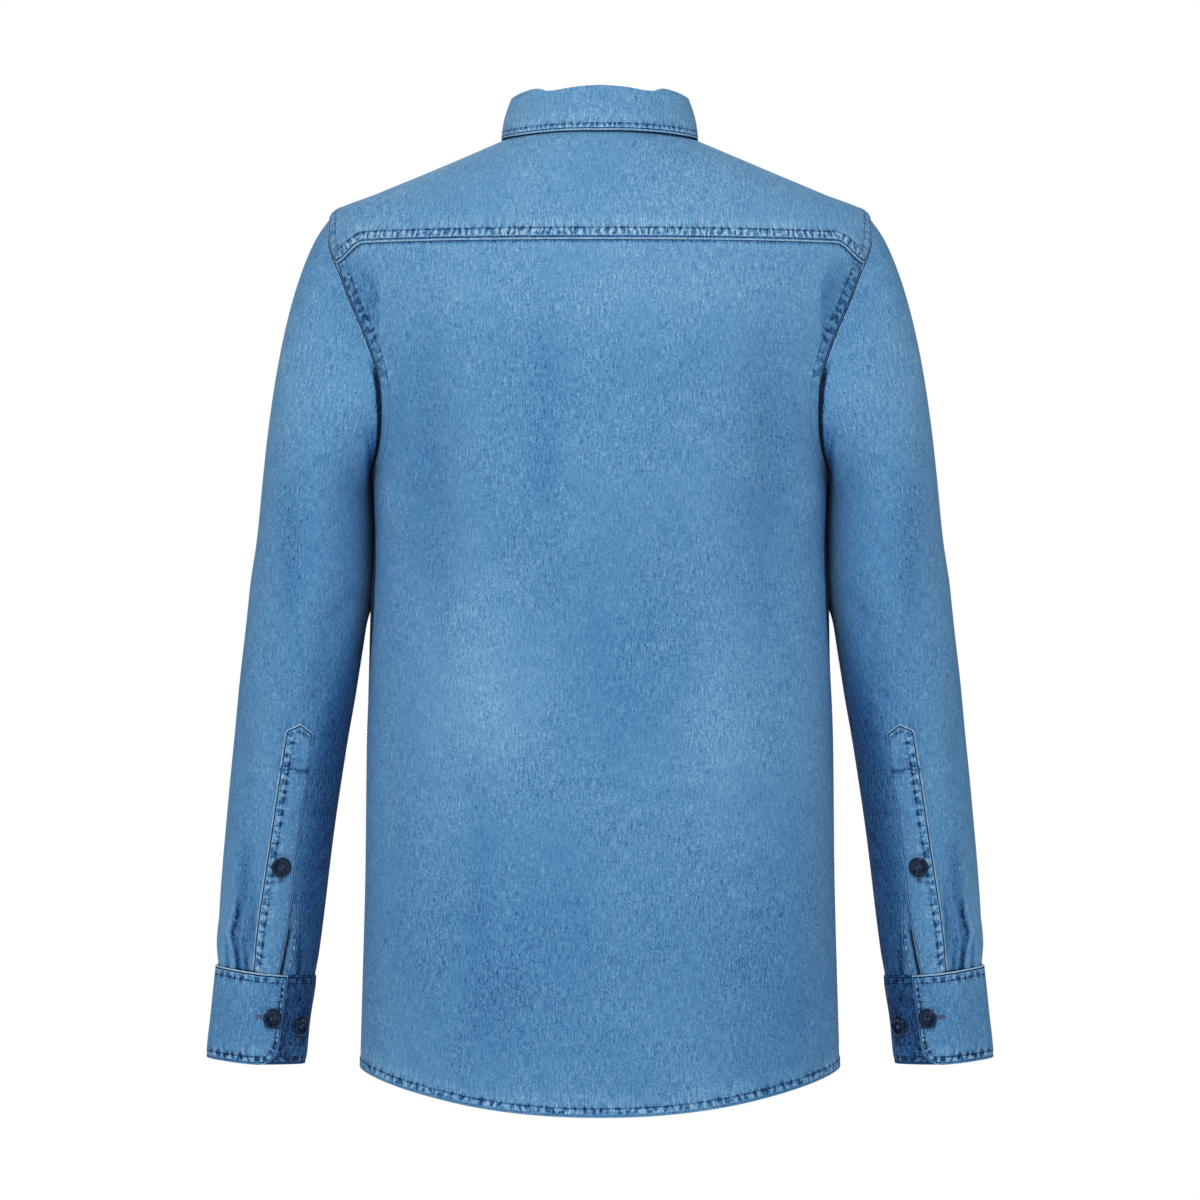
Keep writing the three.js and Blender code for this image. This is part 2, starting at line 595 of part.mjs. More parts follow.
function standGeometry() {
  const overlap = Math.asin(STAND_OVERLAP / BODY[0].halfWidth);
  const from = -RIGHT_ANGLE - overlap;
  const to = 3 * RIGHT_ANGLE + overlap;
  const columns = 36;
  const grid = [1, 0.5, 0].map((share) =>
    Array.from({ length: columns + 1 }, (unused, column) => {
      const angle = lerp(from, to, column / columns);
      const sunk = (CLOTH + LAYER_GAP) * smoothStep(angle, to - 4 * overlap, to - 1.6 * overlap);
      const { outward } = standBase(angle, 0);
      return { outer: standPoint(angle, share, sunk), inward: outward.clone().multiplyScalar(-CLOTH) };
    }),
  );
  return wallGeometry({ grid });
}

// The collar leaf's free edge, as places on the body that it stays clear of, from the centre of the back to a point.
const LEAF_EDGE = [
  { turn: 90, angle: 90, level: -8, clear: 5.5 },
  { turn: 50, angle: 50, level: -6.5, clear: 4 },
  { turn: 0, angle: 0, level: -1.5, clear: 1.4 },
  { turn: -35, angle: -35, level: -8, clear: 1.6 },
  { turn: -62, angle: -60, level: -26, clear: 2.4 },
  { turn: -83, angle: -71.5, level: -46, clear: 3 },
];
const leafEdge = smoothTable(LEAF_EDGE, 'turn');
const LEAF_SECTION = [
  { out: 0, up: 0.3 },
  { out: 0, up: 1.6 },
  { out: 0.3, up: 2.8 },
  { out: 1.7, up: 3.4 },
  { out: 3.1, up: 2.8 },
  { out: 3.5, up: 1.4 },
];
const LEAF_ROWS = 4;

// A point of the leaf's middle layer: over the fold first, then down to the free edge with a slight belly.
function leafPoint(turn, row) {
  const angle = THREE.MathUtils.degToRad(turn);
  const top = standPoint(angle, 1);
  const { outward } = standBase(angle, 0);
  const middle = top.clone().addScaledVector(outward, -CLOTH / 2);
  const section = LEAF_SECTION[Math.min(row, LEAF_SECTION.length - 1)];
  const rolled = middle.addScaledVector(outward, section.out).addScaledVector(UP, section.up);
  const share = Math.max(row - LEAF_SECTION.length + 1, 0) / LEAF_ROWS;
  if (share === 0) return rolled;
  const place = { angle: THREE.MathUtils.degToRad(leafEdge.angle(turn)), level: leafEdge.level(turn) };
  const edge = ringPoint(place).addScaledVector(bodyNormal(place), leafEdge.clear(turn));
  return rolled.lerp(edge, share).addScaledVector(outward, 1.5 * Math.sin(Math.PI * share));
}

function leafGeometry() {
  const rows = LEAF_SECTION.length + LEAF_ROWS;
  const reach = 90 - LEAF_EDGE[LEAF_EDGE.length - 1].turn;
  const turnAt = (column) => {
    const off = (2 * column) / LEAF_COLUMNS - 1;
    return { turn: 90 - reach * Math.abs(off), isRight: off > 0 };
  };
  const pointAt = (row, column) => {
    const { turn, isRight } = turnAt(Math.min(Math.max(column, 0), LEAF_COLUMNS));
    const point = leafPoint(turn, row);
    return isRight ? flipped(point) : point;
  };
  const grid = Array.from({ length: rows }, (unused, row) =>
    Array.from({ length: LEAF_COLUMNS + 1 }, (alsoUnused, column) => {
      const along = pointAt(row, Math.min(column + 1, LEAF_COLUMNS)).sub(pointAt(row, Math.max(column - 1, 0)));
      const down = pointAt(Math.min(row + 1, rows - 1), column).sub(pointAt(Math.max(row - 1, 0), column));
      const normal = down.cross(along).normalize();
      const outer = pointAt(row, column).addScaledVector(normal, LAYERS / 2);
      return { outer, inward: normal.multiplyScalar(-LAYERS) };
    }),
  );
  return wallGeometry({ grid, trim: 0 });
}

// A left sleeve: its head from the armhole to the bicep, then its tube down to the cuff.
function sleeveGeometry() {
  const around = [...BACK_STATIONS, ...TOP_STATIONS.slice(1), ...FRONT_STATIONS.slice(1, -1)];
  const head = Array.from({ length: CAP_ROWS }, (unused, row) =>
    around.map((station) => {
      const normal = row === 0 ? sharedSlope(headNormal(station, 0), bodyNormal(armholePlace(station)))
        : headNormal(station, row / CAP_ROWS);
      return { outer: headPoint(station, row / CAP_ROWS), inward: normal.multiplyScalar(-CLOTH) };
    }),
  );
  const tube = Array.from({ length: TUBE_ROWS + 1 }, (unused, row) =>
    around.map((station) => {
      const angle = armholeAngle(station);
      const height = lerp(BICEP, SLEEVE_END, row / TUBE_ROWS);
      return { outer: sleevePoint(angle, height), inward: sleeveNormal(angle, height).multiplyScalar(-CLOTH) };
    }),
  );
  return wallGeometry({ grid: [...head, ...tube], closed: true });
}

// What lies on the sleeve: a strip between two edges given as shares of the half width.
function stripPoint(strip, height, share, lift) {
  const angle = sleeveAngle(lerp(strip.outer(height), strip.inner(height), share), height);
  const normal = sleeveNormal(angle, height);
  return { outer: sleevePoint(angle, height).addScaledVector(normal, lift + LAYERS), inward: normal };
}

function stripGeometry({ table, rows, columns, point }) {
  const strip = smoothTable(table, 'height');
  const top = table[0].height;
  const end = table[table.length - 1].height;
  const grid = Array.from({ length: rows + 1 }, (unused, row) =>
    Array.from({ length: columns + 1 }, (alsoUnused, column) => {
      const share = column / columns;
      const peak = row === 0 ? point * (1 - Math.abs(2 * share - 1)) : 0;
      const { outer, inward } = stripPoint(strip, lerp(top, end, row / rows) + peak, share, LAYER_GAP);
      return { outer, inward: inward.multiplyScalar(-LAYERS) };
    }),
  );
  return wallGeometry({ grid });
}

// The cuff is a band whose end laps over its start. past is the angle gone round from the end of the lap, and the
// band stands off the sleeve's sections until it slips under the lap.
const CUFF_START = sleeveAngle(CUFF_EDGE, (CUFF_TOP + CUFF_BOTTOM) / 2);
const CUFF_TURN = 2 * Math.PI + CUFF_UNDERLAP;

function cuffLift(past) {
  return (CLOTH + LAYER_GAP) * (1 - smoothStep(past / CUFF_TURN, 0.72, 0.86));
}

// The lap has a rounded lower corner.
function cuffGeometry() {
  const step = CUFF_TURN / CUFF_COLUMNS;
  const grid = Array.from({ length: CUFF_ROWS + 1 }, (unused, row) =>
    Array.from({ length: CUFF_COLUMNS + 1 }, (alsoUnused, column) => {
      const angle = CUFF_START - step * column;
      const height = lerp(CUFF_TOP, CUFF_BOTTOM, row / CUFF_ROWS);
      const normal = sleeveNormal(angle, height);
      const outer = sectionPoint(angle, height).addScaledVector(normal, cuffLift(step * column));
      return { outer, inward: normal.multiplyScalar(-CLOTH) };
    }),
  );
  roundCorner(grid);
  return wallGeometry({ grid });
}

// Draws the lower corner of the first columns up along a quarter circle.
function roundCorner(grid) {
  const bottom = grid[grid.length - 1];
  const start = bottom[0].outer.clone();
  for (const [column, corner] of bottom.entries()) {
    const off = corner.outer.distanceTo(start);
    if (off >= CUFF_CORNER) break;
    const rise = CUFF_CORNER - Math.sqrt(CUFF_CORNER ** 2 - (CUFF_CORNER - off) ** 2);
    corner.outer.lerp(grid[0][column].outer, rise / corner.outer.distanceTo(grid[0][column].outer));
  }
}

// A turned button with a raised rim. Its axis is the wall's normal, and it stands clear of the wall.
function buttonGeometry(point, normal) {
  const rim = [
    [0, 0],
    [BUTTON_RADIUS - 0.4, 0],
    [BUTTON_RADIUS, BUTTON_HEIGHT * 0.6],
    [BUTTON_RADIUS - 1.2, BUTTON_HEIGHT],
    [BUTTON_RADIUS - 2.4, BUTTON_HEIGHT * 0.7],
    [0, BUTTON_HEIGHT * 0.7],
  ];
  const profile = rim.map(([radius, height]) => new THREE.Vector2(radius, height));
  const geometry = new THREE.LatheGeometry(profile, BUTTON_SIDES);
  const turn = new THREE.Quaternion().setFromUnitVectors(new THREE.Vector3(0, 1, 0), normal);
  const base = point.clone().addScaledVector(normal, 0.35);
  return geometry.applyQuaternion(turn).translate(base.x, base.y, base.z);
}

function sleeveButton({ height, share }, lift) {
  const angle = sleeveAngle(share, height);
  const normal = sleeveNormal(angle, height);
  return buttonGeometry(sectionPoint(angle, height).addScaledVector(normal, lift), normal);
}

// The shirt
const shirt = new THREE.Group();

function addPiece(name, geometry, colour, roughness = 0.9) {
  const material = new THREE.MeshStandardMaterial({ color: colour, roughness, metalness: 0 });
  const piece = new THREE.Mesh(geometry, material);
  piece.name = name;
  shirt.add(piece);
}

function addPair(name, geometry, colour, roughness) {
  addPiece(`${name}_left`, geometry, colour, roughness);
  addPiece(`${name}_right`, mirroredGeometry(geometry), colour, roughness);
}

function addBody() {
  addPiece('back', backGeometry(), COLOURS.denim);
  addPiece('yoke', yokeGeometry(), COLOURS.shoulders);
  addPiece('front_left', frontGeometry('left'), COLOURS.denim);
  addPiece('front_right', frontGeometry('right'), COLOURS.denim);
}

function addCollar() {
  addPiece('collar_stand', standGeometry(), COLOURS.shoulders);
  addPiece('collar_leaf', leafGeometry(), COLOURS.shoulders);
}

function addSleeves() {
  const strip = stripGeometry({ table: SLIT_STRIP, rows: 9, columns: 6, point: STRIP_POINT });
  const binding = stripGeometry({ table: SLIT_BINDING, rows: 3, columns: 2, point: 0 });
  addPair('sleeve', sleeveGeometry(), COLOURS.sleeves);
  addPair('sleeve_placket', strip, COLOURS.sleeves);
  addPair('sleeve_binding', binding, COLOURS.edges);
  addPair('cuff', cuffGeometry(), COLOURS.edges);
}

function addButtons() {
  const gloss = 0.3;
  const centre = -RIGHT_ANGLE;
  for (let i = 0; i < FRONT_BUTTONS; i += 1) {
    const heightAt = (level) => ringPoint({ angle: centre, level }).z;
    const level = solve(heightAt, FRONT_BUTTON_TOP - i * FRONT_BUTTON_STEP, HEM_LEVEL, NECK_LEVEL);
    const place = { angle: centre, level };
    addPiece(`front_button_${i + 1}`, buttonGeometry(bodyPoint(place), bodyNormal(place)), COLOURS.buttons, gloss);
  }
  const collarOut = standBase(centre, 0).outward.addScaledVector(UP, Math.tan(STAND_LEAN)).normalize();
  addPiece('collar_button', buttonGeometry(standPoint(centre, 0.5), collarOut), COLOURS.buttons, gloss);
  addPair('placket_button', sleeveButton(STRIP_BUTTON, LAYER_GAP + LAYERS), COLOURS.buttons, gloss);
  for (const [i, place] of CUFF_BUTTONS.entries()) {
    const past = CUFF_START - sleeveAngle(place.share, place.height);
    const lift = cuffLift(THREE.MathUtils.euclideanModulo(past, 2 * Math.PI));
    addPair(`cuff_button_${i + 1}`, sleeveButton(place, lift), COLOURS.buttons, gloss);
  }
}

addBody();
addCollar();
addSleeves();
addButtons();

export default shirt;
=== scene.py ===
"""A long-sleeved denim shirt: cloth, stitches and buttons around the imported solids, with stage and camera."""
import math

import bmesh
import bpy
import numpy as np
from mathutils import Matrix, Vector
from mathutils.bvhtree import BVHTree


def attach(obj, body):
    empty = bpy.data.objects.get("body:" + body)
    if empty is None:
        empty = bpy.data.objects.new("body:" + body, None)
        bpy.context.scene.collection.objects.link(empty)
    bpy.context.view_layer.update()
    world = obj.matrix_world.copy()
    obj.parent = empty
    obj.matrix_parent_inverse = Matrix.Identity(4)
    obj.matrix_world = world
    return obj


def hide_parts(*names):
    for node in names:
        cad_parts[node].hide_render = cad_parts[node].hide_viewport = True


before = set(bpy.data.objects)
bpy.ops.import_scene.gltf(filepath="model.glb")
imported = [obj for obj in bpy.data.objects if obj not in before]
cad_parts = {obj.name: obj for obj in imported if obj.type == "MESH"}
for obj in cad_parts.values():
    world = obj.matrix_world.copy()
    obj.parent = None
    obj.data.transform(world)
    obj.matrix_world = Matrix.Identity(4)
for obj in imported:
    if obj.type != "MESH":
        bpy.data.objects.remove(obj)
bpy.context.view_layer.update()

bl_info = {
    "name": "Denim shirt",
    "version": (1, 0, 0),
    "blender": (4, 5, 0),
    "location": "View3D > Sidebar > Denim shirt",
    "description": "Makes a washed denim shirt in its worn form, with stitches and buttons",
    "category": "Object",
}

# Sizes of the shirt in millimetres, in the frame of the solids
RIGHT_ANGLE = math.pi / 2
SIDES = ("left", "right")
YOKE_SEAM = -82
YOKE_DIP = 14
SHOULDER_FORWARD = -33
FRONT_OVERLAP = 16
STAND_HEIGHT = 28
STAND_FRONT_HEIGHT = 24
STAND_OVERLAP = 12
STAND_LEAN = math.radians(5)
BICEP = -275
SLEEVE_END = -637
PLEAT_TOP = -560
PLEAT_TURN = math.radians(147)
CUFF_TOP = -637.1
CUFF_BOTTOM = -706
CUFF_CORNER = 15
CUFF_LIFT = 2
CUFF_EDGE = -0.46
CUFF_TURN = 2 * math.pi + math.radians(40)
NECK_ROWS = 5
NECK_EASE = 1.35
SOLID_CLOTH = 1.4
SOLID_LAYER = 1.2
LAYER_GAP = 0.6

# Rings of the body: height at the sides, at the middle of the back and of the front, half width, depth of the
# back and of the front, how square the ring is, and how far behind the side its seam runs
BODY_NAMES = ("level", "back", "front", "half_width", "back_depth", "front_depth", "power", "seam")
BODY_ROWS = (
    (1, 9, -42, 68, 57, 64, 2, 0),
    (-12, -5, -55, 99, 73, 76, 2, 0),
    (-27, -23, -67, 135, 85, 87, 2, 0),
    (-42, -42, -79, 171, 94, 95, 2, 0),
    (-57, -61, -91, 205, 102, 103, 2, 0),
    (-86, -89, -112, 216, 111, 112, 2.2, 0),
    (-120, -121, -136, 208, 118, 120, 2.3, 4),
    (-160, -160, -166, 196, 123, 126, 2.35, 8),
    (-200, -200, -202, 183, 127, 129, 2.4, 10),
    (-245, -245, -245, 172, 129, 130, 2.4, 12),
    (-300, -300, -300, 172, 127, 130, 2.3, 26),
    (-352, -352, -352, 175, 124, 129, 2.2, 30),
    (-400, -401, -401, 176, 122, 128, 2.3, 22),
    (-470, -473, -473, 178, 121, 127, 2.4, 4),
    (-560, -569, -570, 179, 123, 127, 2.4, 0),
    (-640, -656, -658, 181, 126, 128, 2.4, 0),
    (-707, -735, -736, 183, 129, 130, 2.4, 0),
)
RING_DIP = 2.1

# The left armhole from the side, from the underarm up the back, over the shoulder and down the front
ARMHOLE = np.array([
    (12, -250), (44, -240), (65, -214), (72, -184), (66, -152), (57, -122), (48, -96), (26, -69), (-3, -57),
    (-27, -68), (-42, -88), (-54, -122), (-61, -163), (-58, -204), (-34, -239),
], float)
ARMHOLE_MIDDLE = (5, -158)
BACK_CORNER = 6
FRONT_CORNER = 10

SLEEVE_NAMES = ("height", "x", "y", "half_width", "half_depth", "power", "tilt")
SLEEVE_ROWS = (
    (-275, 217.5, 3, 41, 64, 2, 0.115),
    (-310, 219, 1, 43, 62.5, 2, 0.115),
    (-352, 222.5, -2, 45.5, 60, 2.05, 0.115),
    (-413, 230.5, -7, 44.7, 57, 2.15, 0.115),
    (-459, 237, -11, 43, 54, 2.3, 0.115),
    (-520, 244.8, -17, 41.3, 49.5, 2.5, 0.115),
    (-581, 251.5, -22, 40.2, 45, 2.7, 0.115),
    (-620, 255.3, -25, 38.6, 41, 2.85, 0.11),
    (-638, 257, -26, 37, 38.6, 2.9, 0.11),
    (-672, 261, -28, 36.6, 37.6, 3, 0.09),
    (-706, 265, -30, 36.2, 37, 3, 0.065),
)
STRIP_NAMES = ("height", "outer", "inner")
SLIT_STRIP = (
    (-451, 0.03, -0.42), (-476, 0.05, -0.42), (-528, 0.09, -0.4), (-570, 0.14, -0.4), (-600, 0.18, -0.375),
    (-636, 0.22, -0.3),
)
SLIT_BINDING = ((-581, -0.43, -0.5), (-600, -0.405, -0.55), (-618, -0.37, -0.57), (-636, -0.33, -0.5))
STRIP_POINT = 6
STRIP_BUTTON = (-553.5, -0.145)
CUFF_BUTTONS = ((-670, -0.25), (-676, -0.85))

# Soft folds: where the middle starts, top, end, how far it leans on its way down, half width and rise
BACK_FOLDS = (
    (132, -115, -400, -6, 17, -4.5), (158, -130, -330, 3, 12, 2), (88, -330, -520, 10, 26, 3),
    (64, -640, -735, 60, 22, -3), (34, -95, -225, 6, 10, -2), (-60, -600, -735, -66, 22, -3),
    (-92, -350, -500, -8, 22, 2.5), (-132, -115, -400, 6, 17, -4.5), (-158, -130, -330, -3, 12, 2),
)
FRONT_FOLDS = (
    (128, -120, -380, -10, 18, -4), (70, -300, -560, 26, 24, 3), (-76, -330, -590, -30, 24, 3),
    (-128, -120, -380, 10, 18, -4),
)
SLEEVE_FOLDS = (
    (62, -330, -480, 34, 15, -2.5), (128, -340, -470, -20, 14, -3), (30, -470, -600, 30, 15, 2.5),
    (250, -400, -540, 40, 16, -4), (300, -430, -600, 20, 15, -3), (62, -566, -665, 4, 6, -4.5),
    (49, -566, -665, 3, 7, 2.5), (76, -615, -662, 0, 4, -2),
)

# Small creases that only the cloth has: from one place to another, half width and rise. On the body a place
# is x and height, and on a sleeve it is degrees round it and height.
BACK_CREASES = (
    ((176, -245), (120, -292), 7, -1.3), ((172, -262), (128, -330), 6, 1.0),
    ((168, -300), (110, -352), 9, -1.1), ((-174, -250), (-126, -286), 7, -1.2),
    ((-170, -268), (-118, -322), 7, 1.0), ((-166, -310), (-122, -372), 8, -1),
    ((42, -98), (47, -250), 6, -1.2), ((30, -104), (33, -205), 5, 0.8), ((-58, -100), (-64, -190), 7, -0.8),
    ((-20, -96), (-22, -168), 6, 0.5), ((98, -96), (106, -160), 7, -0.8),
    ((-112, -98), (-120, -172), 7, -0.9), ((150, -470), (60, -520), 16, -1.0),
    ((-140, -500), (-52, -548), 18, -0.9), ((110, -600), (20, -650), 20, 0.9),
    ((-96, -610), (-30, -664), 18, 0.8), ((172, -640), (140, -700), 9, -1.4),
    ((-172, -636), (-138, -702), 9, -1.4), ((60, -420), (82, -560), 12, -0.9),
    ((-70, -400), (-80, -540), 12, -0.8), ((4, -520), (14, -700), 16, 0.7),
)
FRONT_CREASES = (
    ((170, -250), (112, -300), 7, -1.4), ((168, -275), (120, -350), 7, 1.0),
    ((-170, -248), (-118, -292), 7, -1.3), ((-166, -282), (-108, -346), 8, 1.0),
    ((120, -130), (84, -220), 9, -1.2), ((-116, -134), (-78, -230), 9, -1.1),
    ((60, -420), (110, -500), 13, -1.0), ((-54, -450), (-104, -540), 13, -1.0),
    ((150, -600), (70, -668), 16, 0.9), ((-140, -590), (-66, -650), 16, 0.9),
)
SLEEVE_CREASES = (
    ((40, -120), (70, -150), 5, -0.9), ((30, -142), (66, -172), 5, 0.8), ((30, -112), (52, -88), 2.6, -0.9),
    ((24, -104), (44, -80), 2.4, 0.7), ((36, -122), (58, -98), 2.6, -0.8),
    ((120, -300), (80, -330), 6, -1.1), ((150, -352), (96, -372), 5, -1.3),
    ((158, -386), (104, -398), 5, 1.0), ((148, -414), (92, -432), 5, -1.2),
    ((136, -446), (98, -452), 5, 0.8), ((200, -380), (250, -402), 7, -1.6),
    ((196, -420), (262, -436), 7, -1.8), ((206, -462), (256, -470), 6, -1.4),
    ((20, -420), (44, -520), 7, -0.9), ((340, -380), (320, -500), 9, -1.0),
    ((66, -560), (60, -637), 3.2, -2.6), ((54, -590), (52, -637), 3.2, 1.6),
    ((80, -612), (82, -637), 2.4, -1.5), ((38, -606), (42, -637), 3.0, -1.3),
    ((24, -616), (26, -637), 2.6, -1.0), ((124, -610), (118, -637), 3, -1.2),
    ((300, -600), (300, -637), 3, -1.2), ((330, -596), (328, -637), 3, 1.0),
    ((250, -604), (252, -637), 3, -1.1), ((10, -600), (12, -637), 3, 1.0),
)

# Pleats that take the sleeve into the cuff, and the slit: a path of x and height, half width, rise and the
# shade painted in its fold
SLEEVE_PLEATS = (
    (((275.8, -572), (277, -592), (281.4, -606), (277.8, -624), (277, -640)), 1.7, -3.2, -1.0),
    (((271.7, -604), (269.8, -640)), 1.3, -2.2, -0.8),
    (((263.6, -610), (263.2, -640)), 1.3, -1.7, -0.9),
    (((287, -604), (285, -640)), 1.5, -1.6, -0.7),
    (((268, -530), (272, -575), (275.8, -600)), 4.5, -1.8, -0.3),
    (((229, -600), (231, -640)), 1.6, -1.4, -0.6),
    (((237.9, -592), (241.6, -618), (245.6, -640)), 2.2, -0.6, -2.2),
)

# Tone of the back, partly wash and partly painted light and shade of its folds and hollows: x and height of the
# middle, half width, half height and how much paler
BACK_WASH_AND_PAINTED_LIGHT = (
    (84, -430, 48, 62, 0.34), (-92, -425, 32, 70, 0.22), (132, -250, 18, 120, -0.2),
    (-130, -250, 18, 120, -0.18), (0, -110, 190, 40, 0.24), (40, -640, 130, 90, -0.27),
    (-130, -640, 40, 110, -0.26), (40, -230, 14, 90, -0.2), (90, -560, 12, 90, -0.14),
    (-20, -640, 60, 70, 0.12), (0, -400, 60, 60, -0.14),
)
# Painted light on the yoke, in the back's columns: paler over the shoulders and the top of the back, where
# light falls from above
YOKE_PAINTED_LIGHT = ((110, -20, 60, 60, 0.1), (-120, -30, 60, 60, 0.12), (0, -60, 60, 20, 0.06))
# Painted light and shade on the sleeves, in the back's columns: a paler head where light falls from above,
# darker and paler bands beside the folds
SLEEVE_LIGHT_AND_SHADE = (
    (215, -180, 60, 70, 0.26), (255, -420, 26, 200, 0.05), (268, -560, 12, 80, -0.12),
    (232, -330, 9, 60, -0.2), (283, -400, 9, 90, -0.16), (290, -600, 12, 40, 0.14),
    (256, -470, 7, 60, 0.12),
)

# Cloths that have been made and their search trees, by name, and the rows of thread that run over them
SURFACES = {}
TREES = {}
STITCH_ROWS = []
BUTTONHOLES = []

# Buttons, with what is finer than a millimetre in metres: the holes, and the strands of thread through them
BUTTON_RADIUS = 7.75
BUTTON_HEIGHT = 2.6
FRONT_BUTTON_TOP = -112
FRONT_BUTTON_PITCH = 94
HOLE_OFF = 0.00125
HOLE_RADIUS = 0.00068
STRAND_OFF = 0.00024
STRAND_RADIUS = 0.00026
ARCH_STEPS = 8
BUTTONHOLE = 17
CUFF_BUTTONHOLE = 18

# On the sleeve: how far it swells towards the body, at how many degrees round and how widely, how far its head
# dips under the armhole's edge, and how many millimetres of cloth a degree and a radian stand for
SLEEVE_SWELL = 9.5
SWELL_TURN = 211
SWELL_WIDTH = 23
HEAD_DIP = 1.1
DEGREE = 0.85
WEAVE_ROUND = 62

# How far a stitch may turn from its row, in radians
STRAY = 0.09

# Rows of the back's grid that lie under the yoke, and the row where the armhole meets the side seam
BACK_UNDER_ROWS = 3
BACK_SIDE_ROW = BACK_UNDER_ROWS + 54

# The rim's bulge as a share of the cloth's thickness, how much of the inside's look it has, and how far from
# a seam its marks can reach
RIM_BULGE = 0.42
RIM_INSIDE = 0.3
SEAM_REACH = 60


def smooth(at, value):
    """A curve through values at given places that never overshoots them."""
    at = np.array(at, float)
    value = np.array(value, float)
    if at[0] > at[-1]:
        at = at[::-1]
        value = value[::-1]
    slope = np.diff(value) / np.diff(at)
    product = slope[:-1] * slope[1:]
    total = np.where(product > 0, slope[:-1] + slope[1:], 1)
    tangent = np.concatenate([slope[:1], np.where(product > 0, 2 * product / total, 0), slope[-1:]])

    def curve(key):
        key = np.asarray(key, float)
        i = np.clip(np.searchsorted(at, key) - 1, 0, len(at) - 2)
        span = at[i + 1] - at[i]
        t = np.clip((key - at[i]) / span, 0, 1)
        rest = 1 - t
        start = rest * rest * ((1 + 2 * t) * value[i] + t * span * tangent[i])
        end = t * t * ((3 - 2 * t) * value[i + 1] - rest * span * tangent[i + 1])
        beyond = np.minimum(key - at[0], 0) * tangent[0] + np.maximum(key - at[-1], 0) * tangent[-1]
        return start + end + beyond

    return curve


def curves(names, rows):
    columns = list(zip(*rows))
    return {name: smooth(columns[0], column) for name, column in zip(names, columns)}


BODY = curves(BODY_NAMES, BODY_ROWS)
SLEEVE = curves(SLEEVE_NAMES, SLEEVE_ROWS)
NECK_LEVEL = BODY_ROWS[0][0]
HEM_LEVEL = BODY_ROWS[-1][0]


def mix(low, high, share):
    return low + (high - low) * share


def smoothstep(value, low, high):
    t = np.clip((value - low) / (high - low), 0, 1)
    return t * t * (3 - 2 * t)


def unit(vector):
    return vector / np.maximum(np.linalg.norm(vector, axis=-1, keepdims=True), 1e-9)


def vectors(x, y, z):
    return np.stack(np.broadcast_arrays(x, y, z), -1).astype(float)


def solve(rises, value, low, high):
    """Where a rising or falling function reaches each value."""
    value = np.asarray(value, float)
    below = np.full(value.shape, float(low))
    above = np.full(value.shape, float(high))
    is_rising = rises(above) > rises(below)
    for _ in range(40):
        middle = (below + above) / 2
        is_below = (rises(middle) < value) == is_rising
        below = np.where(is_below, middle, below)
        above = np.where(is_below, above, middle)
    return (below + above) / 2


def fold_rise(folds, across, height):
    rise = np.zeros(np.broadcast(across, height).shape)
    for middle, top, end, lean, width, most in folds:
        down = np.clip((height - top) / (end - top), 0, 1)
        off = (across - middle - lean * down) / width
        rise += most * np.exp(-off * off) * np.sin(math.pi * down) ** 0.8
    return rise


def crease_rise(creases, across, height, scale=1.0):
    """Rise of short creases. scale turns the places' first number into millimetres."""
    rise = np.zeros(np.broadcast(across, height).shape)
    for start, end, width, most in creases:
        along = np.array([(end[0] - start[0]) * scale, end[1] - start[1]])
        length = np.linalg.norm(along)
        along = along / length
        dx = (across - start[0]) * scale
        dz = height - start[1]
        down = np.clip((dx * along[0] + dz * along[1]) / length, 0, 1)
        off = (dx * along[1] - dz * along[0]) / width
        rise += most * np.exp(-off * off) * np.sin(math.pi * down) ** 0.9
    return rise


def ripple(across, height, amount=0.35):
    """A slow unevenness that no worn cloth is without."""
    first = np.sin(across / 23.0 + np.sin(height / 61.0) * 1.3)
    second = np.sin(across / 37.0 - height / 74.0 + 1.1)
    third = np.sin(height / 29.0 + across / 90.0 + 0.6) * np.sin(across / 52.0 + 2.0)
    return amount * (0.5 * first + 0.6 * second + 0.5 * third)


def tone_of(tones, across, height):
    tone = np.zeros(np.broadcast(across, height).shape)
    for x, z, half_width, half_height, amount in tones:
        tone += amount * np.exp(-((across - x) / half_width) ** 2 - ((height - z) / half_height) ** 2)
    return tone


def pleat_rise_and_shade(points):
    """Rise of the pleats and the slit on the back of a sleeve, with painted shade in their folds and a faint
    painted highlight beside each.
    """
    rise = np.zeros(points.shape[:-1])
    tone = np.zeros(points.shape[:-1])
    is_back = points[..., 1] > -20
    for path, width, most, dark in SLEEVE_PLEATS:
        heights = [place[1] for place in path][::-1]
        middle = np.interp(points[..., 2], heights, [place[0] for place in path][::-1])
        off = (points[..., 0] - middle) / width
        down = smoothstep(points[..., 2], path[0][1], path[0][1] - 22) * is_back
        rise += most * down * (np.exp(-off * off) - 0.45 * np.exp(-(off - 2.4) ** 2))
        tone += dark * down * np.exp(-off * off) - 0.2 * dark * down * np.exp(-(off - 2.2) ** 2)
    return rise, tone


# The body
def ring_point(angle, level):
    round_ = 2 / BODY["power"](level)
    cosine = np.cos(angle)
    sine = np.sin(angle)
    depth = np.where(sine >= 0, BODY["back_depth"](level), BODY["front_depth"](level))
    middle = np.where(sine >= 0, BODY["back"](level), BODY["front"](level))
    x = BODY["half_width"](level) * np.sign(cosine) * np.abs(cosine) ** round_
    y = depth * np.sign(sine) * np.abs(sine) ** round_
    share = 1 - np.abs(cosine) ** (round_ * RING_DIP)
    return vectors(x, y, mix(level, middle, share))


def square_to(surface, first, second, first_step, second_step):
    along = surface(first + first_step, second) - surface(first - first_step, second)
    down = surface(first, second - second_step) - surface(first, second + second_step)
    return unit(np.cross(down, along))


def body_normal(angle, level):
    return square_to(ring_point, angle, level, 0.02, 1)


